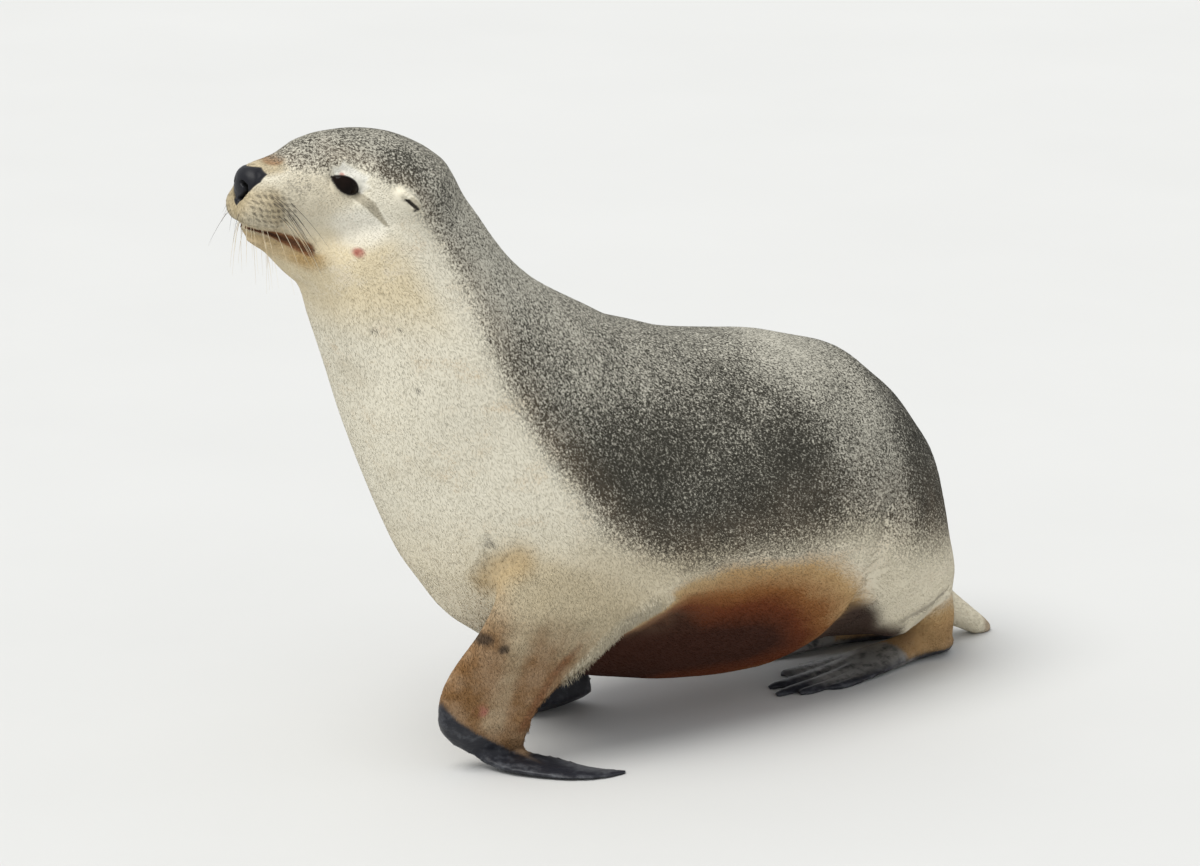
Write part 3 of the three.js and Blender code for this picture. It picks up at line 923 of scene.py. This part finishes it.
class Graph:
    """One material's nodes."""

    def __init__(self, name):
        self.material = bpy.data.materials.new(name)
        self.material.use_nodes = True
        self.tree = self.material.node_tree
        self.shader = self.tree.nodes["Principled BSDF"]

    def node(self, kind, settings=None, *values, **named):
        """A node of this type: settings first, then its sockets' values or links."""
        node = self.tree.nodes.new(kind)
        for key, value in (settings or {}).items():
            setattr(node, key, value)
        for key, value in list(enumerate(values)) + list(named.items()):
            self.join(value, node.inputs[key if isinstance(key, int) else key.replace("_", " ")])
        return node

    def join(self, value, socket):
        if isinstance(value, Value):
            value = value.socket
        if isinstance(value, bpy.types.NodeSocket):
            self.tree.links.new(value, socket)
        elif isinstance(value, tuple) and len(value) == 3 and len(socket.default_value) == 4:
            socket.default_value = (*value, 1)
        else:
            socket.default_value = value

    def attribute(self, name):
        node = self.node("ShaderNodeAttribute", {"attribute_name": name})
        return Value(self, node.outputs["Fac"])

    def place(self, stretch=(1, 1, 1)):
        node = self.node("ShaderNodeTexCoord")
        mapping = self.node("ShaderNodeMapping", {}, Vector=node.outputs["Object"], Scale=stretch)
        return mapping.outputs[0]

    def noise(self, scale, detail=3.0, stretch=(1, 1, 1), roughness=0.5):
        node = self.node("ShaderNodeTexNoise", {}, Vector=self.place(stretch), Scale=scale, Detail=detail)
        node.inputs["Roughness"].default_value = roughness
        return Value(self, node.outputs["Fac"])

    def mix(self, share, first, second, blend="MIX"):
        node = self.node("ShaderNodeMix", {"data_type": "RGBA", "blend_type": blend})
        colour = {s.identifier: s for s in node.inputs}
        self.join(share, colour["Factor_Float"])
        self.join(first, colour["A_Color"])
        self.join(second, colour["B_Color"])
        return next(s for s in node.outputs if s.identifier == "Result_Color")

    def ramp(self, value, stops):
        node = self.node("ShaderNodeValToRGB", {}, value)
        elements = node.color_ramp.elements
        while len(elements) < len(stops):
            elements.new(0.5)
        for element, (position, colour) in zip(elements, stops):
            element.position = position
            element.color = (*colour, 1)
        return node.outputs["Color"]

    def darken(self, colour, amount):
        """The colour times a grey of this value."""
        grey = self.node("ShaderNodeCombineColor", {}, amount, amount, amount)
        return self.mix(1.0, colour, grey.outputs[0], "MULTIPLY")

    def bump(self, height, strength, distance):
        node = self.node("ShaderNodeBump", {}, Strength=strength, Distance=distance, Height=height)
        return node.outputs[0]

    def set(self, **inputs):
        for name, value in inputs.items():
            self.join(value, self.shader.inputs[name.replace("_", " ")])
        return self.material


# ---- the animal's colours ----
CREAM = (0.765, 0.72, 0.59)
YELLOW_CREAM = (0.72, 0.62, 0.425)
PALE = (0.79, 0.77, 0.69)
ORANGE = (0.50, 0.33, 0.155)
RED_BROWN = (0.24, 0.095, 0.025)
RUST = (0.125, 0.028, 0.005)
DARK_RUST = (0.035, 0.008, 0.002)
PEPPER = (0.038, 0.036, 0.028)
SALT = (0.50, 0.48, 0.405)
TAN = (0.42, 0.345, 0.215)
OCHRE = (0.43, 0.28, 0.11)
BROWN = (0.26, 0.135, 0.05)
NEAR_BLACK = (0.020, 0.016, 0.014)
# The mouth's stain brown, also used as painted shade in the arm's crease.
BROWN_STAIN_AND_SHADE = (0.20, 0.09, 0.04)
DARK_STAIN = (0.045, 0.018, 0.010)
# Painted shade under the thighs.
GROIN_SHADE = (0.045, 0.026, 0.018)
NOSE_BLACK = (0.008, 0.0085, 0.012)
LEATHER = (0.019, 0.020, 0.026)
SCUFFED = (0.095, 0.10, 0.112)
GREY_FOOT_TOP = (0.27, 0.26, 0.245)
TEAR = (0.42, 0.38, 0.29)
SORE = (0.42, 0.16, 0.12)


def uneven(g, name, amount):
    """A marking with a ragged edge."""
    ragged = g.noise(38, 4, roughness=0.6)
    return (g.attribute(name) + amount * (ragged - 0.5)).ease(0.12, 0.88)


def marked_colour(g, tone):
    """The coat's colour from its markings and from how light this hair is."""
    mottle = g.noise(7, 3)
    blotch = g.noise(26, 4)
    cream = g.mix(g.attribute("yellow"), CREAM, YELLOW_CREAM)
    cream = g.mix(0.3 * g.noise(11, 4).ease(0.56, 0.75), cream, TAN)
    cream = g.darken(cream, 0.94 + 0.06 * tone + 0.22 * (mottle - 0.5))
    streaks = g.noise(45, 3, (1, 0.22, 1))
    rust = g.attribute("rust") + 0.12 * (blotch - 0.5) + 0.14 * (streaks - 0.5) + 0.06 * (tone - 0.5)
    warm = g.ramp(rust, [(0.0, CREAM), (0.18, ORANGE), (0.43, RED_BROWN), (0.64, RUST), (0.95, DARK_RUST)])
    colour = g.mix(rust.ease(0.0, 0.06), cream, warm)
    colour = g.mix(g.attribute("tan"), colour, g.darken(TAN, 0.85 + 0.3 * tone))
    # The jaw's ochre, partly painted shade under the jaw, and the armpit's ochre hair.
    colour = g.mix(g.attribute("jaw") * (0.7 + 0.6 * blotch), colour, g.darken(OCHRE, 0.8 + 0.4 * tone))
    brown = g.mix(blotch.ease(0.3, 0.7), g.darken(BROWN, 0.8), g.mix(0.14, BROWN, CREAM))
    colour = g.mix(uneven(g, "brown", 0.4), colour, g.darken(brown, 0.85 + 0.3 * tone))
    lightness = g.attribute("light") + 0.5 * (mottle - 0.5) + 0.3 * (blotch - 0.5)
    salted = (tone + lightness).ease(0.68, 1.28)
    grizzle = g.mix(salted, PEPPER, SALT)
    verge = 4 * g.attribute("grey") * (1 - g.attribute("grey"))
    grizzle = g.mix((0.03 + 0.35 * verge) * blotch, grizzle, (0.23, 0.16, 0.10))
    grey = 1.7 * g.attribute("grey") - 0.35 + 0.55 * (0.5 - tone) + 0.4 * (mottle - 0.5)
    colour = g.mix(grey.ease(0.12, 0.88), colour, grizzle)
    colour = g.mix(g.attribute("pale"), colour, PALE)
    colour = g.mix(g.attribute("tear"), colour, TEAR)
    # The mouth's stain and the painted shade of the arm's crease.
    colour = g.mix(uneven(g, "stain", 0.6), colour, g.darken(BROWN_STAIN_AND_SHADE, 0.7 + 0.6 * tone))
    colour = g.mix(g.attribute("core"), colour, DARK_STAIN)
    # Painted shade under the thighs and in their crease.
    colour = g.mix((g.attribute("dark") + 0.3 * (blotch - 0.5)).ease(0.0, 1.0), colour, GROIN_SHADE)
    colour = g.mix(g.attribute("red") * blotch.ease(0.3, 0.5), colour, SORE)
    colour = g.mix(g.attribute("black"), colour, NEAR_BLACK)
    colour = g.mix(g.attribute("nose"), colour, NOSE_BLACK)
    # Painted shade: the nostrils almost black.
    return g.mix(g.attribute("nostril"), colour, (0.001, 0.001, 0.001))


def skin_material():
    g = Graph("skin")
    tone = g.noise(330, 2, roughness=0.7).ease(0.32, 0.68)
    colour = marked_colour(g, tone)
    leather = g.attribute("leather")
    scuffs = g.noise(60, 6, roughness=0.65)
    hide = g.mix(scuffs.ease(0.44, 0.80), LEATHER, SCUFFED)
    # The grey on the hind feet's tops, in patches.
    hide = g.mix(g.attribute("dust") * scuffs.ease(0.25, 0.6), hide, GREY_FOOT_TOP)
    colour = g.mix(leather, colour, hide)
    wrinkles = g.noise(150, 4, (1, 1, 2.2))
    height = leather * wrinkles + 0.3 * ((1 - leather) * g.noise(620, 3))
    nose = g.attribute("nose")
    gloss = 0.78 - 0.40 * leather - 0.34 * nose
    normal = g.bump(height, 0.5, 0.001)
    return g.set(Base_Color=colour, Roughness=gloss, Specular_IOR_Level=0.22, Normal=normal)


def coat_material():
    g = Graph("coat")
    tone = g.attribute("tone")
    tip = g.attribute("tip")
    colour = g.darken(marked_colour(g, tone), 0.93 + 0.1 * tip)
    return g.set(Base_Color=colour, Roughness=0.7 + 0.1 * tone, Specular_IOR_Level=0.1)


def eye_material():
    g = Graph("eye")
    depth = g.noise(90, 2)
    colour = g.mix(depth, (0.003, 0.002, 0.002), (0.012, 0.007, 0.005))
    return g.set(Base_Color=colour, Roughness=0.08, Specular_IOR_Level=0.06)


def whisker_material(name, root, tip):
    g = Graph(name)
    colour = g.mix(g.noise(60, 2).ease(0.4, 0.6), root, tip)
    return g.set(Base_Color=colour, Roughness=0.4)


# ---- the coat ----
TUFTS = 365_000
PIECE_TUFTS = 48_000
rng = np.random.default_rng(SEED)
# Per region: hair length, width, lift of the tips (mm) and how many times denser than on the trunk.
TRUNK_HAIR = np.array([5.8, 1.2, 0.21, 1.0])
FACE_HAIR = np.array([3.0, 0.7, 0.14, 2.6])
ARM_HAIR = np.array([4.8, 1.0, 0.22, 1.5])
HIND_HAIR = np.array([3.6, 0.9, 0.20, 2.0])
FRINGE_HAIR = np.array([9, 0.3, 2.2])
RIDGE_HIGH = 0.09 * MM
ROOT_SUNK = 0.18 * MM
LIE_JITTER = 0.20
TONE_CELL = 2.4 * MM  # neighbouring hairs of this cell share half of their tone
PATCH = 0.003  # each tuft's place on the unwrap
NOSE_TIP = np.array([112, 0, -22]) * MM


def spine_direction(points):
    """Which way the spine runs towards the tail, near each point."""
    along = nearest_on_line(points * [0, 1, 1] + [MIDLINE_X, 0, 0], SPINE_LINE)[1]
    travelled = length_along(SPINE_LINE)
    middles = (travelled[1:] + travelled[:-1]) / 2
    return unit(at_lengths(along, middles, -unit(np.diff(SPINE_LINE, axis=0))))


def lie_of_coat(points, normals, region, neighbours):
    """Unit vectors along the skin in the way the hair points."""
    lie = spine_direction(points) + [0, 0, -0.25]
    back_from_nose = unit(points - from_head(NOSE_TIP))
    lie = np.where(region["head"][:, None] > 0.5, back_from_nose, lie)
    side = np.sign(points[:, :1] - MIDLINE_X)
    down_arm = np.hstack([0.1 * side, np.full_like(side, 0.30), -np.ones_like(side)])
    lie = np.where(region["arm"][:, None] > 0.5, down_arm, lie)
    lie = np.where(region["hind"][:, None] > 0.5, [0, -0.55, -0.8], lie)
    lie = np.where(region["tail"][:, None] > 0.5, [0, 1, -0.6], lie)
    lie = neighbours.smooth(lie, 25)
    lie -= normals * np.sum(lie * normals, axis=1)[:, None]
    return unit(lie)


def hair_of(region):
    """Length, width, lift and density at each vertex or root."""
    face, arm, hind = (region[name][:, None] for name in ("head", "arm", "hind"))
    body = np.clip(1 - face - arm - hind, 0, 1)
    return body * TRUNK_HAIR + face * FACE_HAIR + arm * ARM_HAIR + hind * HIND_HAIR


def bare_share(marks, near):
    """1 where no hair grows: leather, nose, the eye's opening, its rim and the ear's slit."""
    _, _, out, edge = eye_measures(near)
    eye = within(edge, 1.5 * MM, 2.5 * MM) * (out > 0)
    slit = within(from_side(near, EAR_SLIT), 1.5 * MM, 2.3 * MM)
    return np.maximum.reduce([marks["leather"], marks["nose"], eye, slit])


def scatter(mesh, density):
    """Random places on the skin: each root's triangle corners and their weights."""
    mesh.calc_loop_triangles()
    corners = read(mesh.loop_triangles, "vertices", 3, np.int32)
    points = points_of(mesh)
    a, b, c = (points[corners[:, i]] for i in range(3))
    area = np.linalg.norm(np.cross(b - a, c - a), axis=1) / 2
    heavy = np.cumsum(area * density[corners].mean(axis=1))
    chosen = np.searchsorted(heavy, rng.random(TUFTS) * heavy[-1])
    u, v = rng.random((2, TUFTS))
    flip = u + v > 1
    u, v = np.where(flip, 1 - u, u), np.where(flip, 1 - v, v)
    return corners[chosen], np.stack([1 - u - v, u, v], axis=1)


def blend_at(values, corners, weights):
    picked = values[corners]
    if values.ndim > 1:
        return np.einsum("ijk,ij->ik", picked, weights)
    return np.sum(picked * weights, axis=1)


def cell_tone(points, size):
    """A repeatable random value for each cell of space, so that neighbouring hairs share it."""
    cell = np.floor(points / size).astype(np.int64)
    mixed = cell @ np.array([73856093, 19349663, 83492791])
    return ((mixed ^ (mixed >> 13)) * 1274126177 % 65536) / 65536


def unwrapped(points, line):
    """Place along the line and turn about it, each from 0 to 1."""
    along = nearest_on_line(points, line)[1]
    travelled = length_along(line)
    on_line = at_lengths(along, travelled, line)
    tangent = at_lengths(along, travelled, unit(np.gradient(line, axis=0)))
    up = unit(np.cross(tangent, [1, 0, 0]))
    offset = points - on_line
    turn = np.arctan2(offset[:, 0], np.sum(offset * up, axis=1)) / (2 * np.pi) + 0.5
    return np.stack([along / travelled[-1], turn], axis=1)


def tuft_mesh(name, root, normal, lie, hair, values, patch):
    """Closed three-sided tufts: two root corners, a ridge and a tip."""
    count = len(root)
    length, width, lift = (hair[:, i : i + 1] * MM for i in range(3))
    across = np.cross(normal, lie)
    left = root - across * width / 2 - normal * ROOT_SUNK
    right = root + across * width / 2 - normal * ROOT_SUNK
    ridge = root + lie * length * 0.35 + normal * (RIDGE_HIGH + lift * 0.4)
    tip = root + lie * length + normal * lift
    points = np.stack([left, right, ridge, tip], axis=1).reshape(-1, 3)
    points[:, 2] = np.maximum(points[:, 2], 0.0003)
    faces = np.array([(0, 1, 2), (0, 2, 3), (2, 1, 3), (1, 0, 3)])
    corners = (faces[None] + 4 * np.arange(count)[:, None, None]).reshape(-1)
    mesh = bpy.data.meshes.new(name)
    mesh.vertices.add(count * 4)
    mesh.loops.add(count * 12)
    mesh.polygons.add(count * 4)
    mesh.vertices.foreach_set("co", points.astype(np.float32).ravel())
    mesh.loops.foreach_set("vertex_index", corners.astype(np.int32))
    mesh.polygons.foreach_set("loop_start", np.arange(0, count * 12, 3, dtype=np.int32))
    mesh.update(calc_edges=True)
    for key, column in values.items():
        set_attribute(mesh, key, np.repeat(column, 4))
    set_attribute(mesh, "tip", np.tile([0, 0, 0.4, 1.0], count))
    spread = np.array([(-1, -1), (1, -1), (0, -0.3), (0, 1)]) * PATCH / 2
    places = np.repeat(patch, 4, axis=0) + np.tile(spread, (count, 1))
    layer = mesh.uv_layers.new(name="OFBake")
    layer.uv.foreach_set("vector", places[corners].astype(np.float32).ravel())
    return mesh


LIMB_LINES = {
    "arm": np.array([(0.16, -0.20, 0.30), (0.13, -0.28, 0.12), (0.13, -0.26, 0.03)]),
    "hind": np.array([(0.08, 0.44, 0.12), (0.08, 0.45, 0.05), (0.07, 0.20, 0.01)]),
}


def in_bands(name, share, place):
    """A large part of the coat as bands along its unwrap, none of them too large."""
    order = np.argsort(place[:, 0])
    order = order[share[order]]
    bands = max(1, math.ceil(len(order) / PIECE_TUFTS))
    areas = {}
    for number, band in enumerate(np.array_split(order, bands), 1):
        chosen = np.zeros(len(place), bool)
        chosen[band] = True
        areas[f"{name}_{number}"] = (chosen, place)
    return areas


def coat_areas(root, region):
    """Which part of the coat each tuft belongs to, none of them too large, and its place on the unwrap."""
    areas = {}
    arm, hind, head = (region[name] > 0.5 for name in ("arm", "hind", "head"))
    right = root[:, 0] < MIDLINE_X
    for name, chosen in (("arm", arm), ("hind", hind)):
        place = unwrapped(np.where(right[:, None], mirrored(root), root), LIMB_LINES[name])
        place[:, 0] = place[:, 0] / 2 + right / 2
        areas[f"coat_{name}s"] = (chosen, place)
    whole = unwrapped(root, SPINE_LINE)
    head_place = unwrapped(root, from_head(np.array([(-0.10, 0, -0.03), (0.12, 0, -0.03)])))
    areas.update(in_bands("coat_face", head & ~arm & ~hind, head_place))
    areas.update(in_bands("coat_body", ~(arm | hind | head), whole))
    return areas


def spread_out(place):
    """The unwrap's part that a piece uses, stretched to fill the square."""
    low, high = place.min(axis=0), place.max(axis=0)
    return 0.01 + 0.98 * (place - low) / (high - low)


def make_coat(skin, region, material):
    points, normals = points_of(skin), normals_of(skin)
    neighbours = Neighbours(skin)
    lie = lie_of_coat(points, normals, region, neighbours)
    marks = markings(points, region)
    bare = bare_share(marks, folded(to_head(points)))
    hair = hair_of(region)
    corners, weights = scatter(skin, hair[:, 3] * (1 - smoothstep(0.3, 0.7, bare)))
    at_root = {name: blend_at(values, corners, weights) for name, values in region.items()}
    root = blend_at(points, corners, weights)
    keep = bare_share(markings(root, at_root), folded(to_head(root))) < 0.5
    root, corners, weights = root[keep], corners[keep], weights[keep]
    at_root = {name: values[keep] for name, values in at_root.items()}
    normal = unit(blend_at(normals, corners, weights))
    turn = rng.normal(0, LIE_JITTER, len(root))[:, None]
    direction = unit(blend_at(lie, corners, weights))
    direction = unit(direction + turn * np.cross(normal, direction))
    size = hair_of(at_root)[:, :3] * rng.uniform([0.75, 0.8, 0.4], [1.3, 1.2, 1.7], (len(root), 3))
    size += beside(root, WEB_EDGE, 4, 16)[:, None] * FRINGE_HAIR
    values = markings(root, at_root)
    blurred = root + rng.normal(0, 0.5 * MM, root.shape)
    values["tone"] = 0.55 * cell_tone(blurred, TONE_CELL) + 0.45 * rng.random(len(root))
    pieces = []
    for name, (chosen, place) in coat_areas(root, at_root).items():
        picked = {key: column[chosen] for key, column in values.items()}
        patch = spread_out(place[chosen])
        mesh = tuft_mesh(name, root[chosen], normal[chosen], direction[chosen], size[chosen], picked, patch)
        pieces.append(add_object(name, mesh, [material]))
    return pieces


# ---- eyes and whiskers ----
CORNEA_PROUD = 0.9 * MM
CORNEA_FROM = 0.86  # of the way round to straight ahead


def make_eye(side, material):
    """The ball, with the clear front of the eye standing a little proud."""
    bm = bmesh.new()
    bmesh.ops.create_uvsphere(bm, u_segments=64, v_segments=32, radius=EYE_RADIUS)
    facing = Vector((EYE_FACES * [1, SIDES[side], 1]) @ HEAD_AXES)
    for vertex in bm.verts:
        ahead = vertex.co.normalized().dot(facing)
        vertex.co += facing * CORNEA_PROUD * float(smoothstep(CORNEA_FROM, 1.0, ahead))
    bmesh.ops.translate(bm, verts=bm.verts, vec=Vector(from_head(EYE_MIDDLE * SIDES[side])))
    mesh = bpy.data.meshes.new(f"eyeball_{side}")
    bm.to_mesh(mesh)
    bm.free()
    shade_smooth(mesh)
    return add_object(f"eyeball_{side}", mesh, [material])


WHISKER_ROWS = 5
WHISKERS_IN_ROW = 7
WHISKER_STEPS = 9
WHISKER_THICK = 0.34 * MM
PALE_FROM_ROW = 2.5


def whisker_roots(skin_tree):
    """Places on both lip pads, in rows, with how far back in its row each is."""
    found = []
    for side in (1, -1):
        for row in range(WHISKER_ROWS):
            for place in range(WHISKERS_IN_ROW):
                back = place / (WHISKERS_IN_ROW - 1)
                aim = np.array([106 - 44 * back - 2 * row, 10 + 26 * back, -22 - 7.5 * row - 4 * back])
                aim = aim + rng.normal(0, 1.5, 3)
                world = from_head(aim * MM * [1, side, 1])
                spot, normal, _, _ = skin_tree.find_nearest(Vector(world))
                found.append((np.array(spot), np.array(normal), back, row, side))
    return found


def whisker_path(spot, normal, back, row, side):
    """Points along one whisker, which leaves the lip outwards and bends down."""
    length = (26 + 58 * back**1.3 + 7 * row) * rng.uniform(0.7, 1.25) * MM
    head_way = np.array([-0.35 - 0.6 * back, side * (0.6 - 0.3 * back), -0.75]) @ HEAD_AXES
    heading = unit(normal * 0.9 + head_way)
    fall = rng.uniform(0.4, 0.9) + 0.1 * row
    place = spot - normal * 1.5 * MM
    path = [place]
    for _ in range(WHISKER_STEPS):
        heading = unit(heading + np.array([0, 0, -fall / WHISKER_STEPS]) + 0.02 * rng.normal(size=3))
        place = place + heading * length / WHISKER_STEPS
        path.append(place)
    return np.array(path)


def make_whiskers(skin, materials):
    """Tapered stalks, dark in the upper rows and pale in the lower."""
    tree = BVHTree.FromPolygons([v.co for v in skin.vertices], [p.vertices[:] for p in skin.polygons])
    curve = bpy.data.curves.new("whiskers", "CURVE")
    curve.dimensions = "3D"
    curve.bevel_depth = WHISKER_THICK
    curve.bevel_resolution = 1
    curve.use_fill_caps = True
    for material in materials:
        curve.materials.append(material)
    for spot, normal, back, row, side in whisker_roots(tree):
        path = whisker_path(spot, normal, back, row, side)
        stalk = curve.splines.new("POLY")
        stalk.points.add(len(path) - 1)
        stalk.points.foreach_set("co", np.column_stack([path, np.ones(len(path))]).ravel())
        stalk.points.foreach_set("radius", np.linspace(1, 0.15, len(path)))
        stalk.material_index = int(row + rng.uniform(-1, 1) > PALE_FROM_ROW)
        stalk.use_smooth = True
    drawn = bpy.data.objects.new("whisker_lines", curve)
    bpy.context.scene.collection.objects.link(drawn)
    return add_object("whiskers", evaluated(drawn), [])


# ---- stage ----
CAMERA_AT = Vector((5.1875, -4.0943, 2.130))
CAMERA_AIM = Vector((-0.1405, 0.0685, 0.3183))
LENS = 163.8
SENSOR = 36
FLOOR_HALF = 30
SUN_AT = (0.1, -2.0, 3.4)
SUN_STRENGTH = 2.45
SUN_WIDE = math.radians(36)
SKY_STRENGTH = 0.80


def make_floor():
    bm = bmesh.new()
    bmesh.ops.create_grid(bm, x_segments=1, y_segments=1, size=FLOOR_HALF)
    mesh = bpy.data.meshes.new("floor")
    bm.to_mesh(mesh)
    bm.free()
    g = Graph("floor")
    grain = g.noise(2, 4)
    colour = g.mix(grain, (0.575, 0.578, 0.57), (0.61, 0.613, 0.605))
    floor = add_object("floor", mesh, [g.set(Base_Color=colour, Roughness=0.9)])


def aim(obj, at, target):
    obj.location = at
    obj.rotation_euler = (Vector(target) - Vector(at)).to_track_quat("-Z", "Y").to_euler()
    bpy.context.scene.collection.objects.link(obj)


def make_camera():
    data = bpy.data.cameras.new("camera")
    data.lens = LENS
    data.sensor_width = SENSOR
    camera = bpy.data.objects.new("camera", data)
    aim(camera, CAMERA_AT, CAMERA_AIM)
    bpy.context.scene.camera = camera


def make_light():
    world = bpy.data.worlds.new("studio")
    bpy.context.scene.world = world
    world.use_nodes = True
    sky = world.node_tree.nodes["Background"]
    sky.inputs["Color"].default_value = (0.97, 0.985, 1.0, 1)
    sky.inputs["Strength"].default_value = SKY_STRENGTH
    sun = bpy.data.lights.new("key", "SUN")
    sun.energy = SUN_STRENGTH
    sun.angle = SUN_WIDE
    sun.color = (1.0, 0.985, 0.95)
    aim(bpy.data.objects.new("key", sun), SUN_AT, (0, 0, 0))
    bpy.context.scene.view_settings.view_transform = "Standard"


# ---- everything ----
def main():
    make_camera()
    make_light()
    make_floor()
    skin_mesh, region = make_skin()
    coat = make_coat(skin_mesh, region, coat_material())
    for name, values in markings(points_of(skin_mesh), region).items():
        set_attribute(skin_mesh, name, values)
    skin = add_object("skin", skin_mesh, [skin_material()])
    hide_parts(*FLESH)
    eyes = {side: make_eye(side, eye_material()) for side in SIDES}
    dark_whisker = whisker_material("whisker_dark", (0.02, 0.015, 0.010), (0.06, 0.045, 0.03))
    pale_whisker = whisker_material("whisker_pale", (0.60, 0.47, 0.28), (0.74, 0.66, 0.48))
    whiskers = make_whiskers(skin_mesh, [dark_whisker, pale_whisker])
    for side, eye in eyes.items():
        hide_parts(f"eye_{side}")
    for piece in [skin, whiskers, *coat, *eyes.values()]:
        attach(piece, "root")


main()
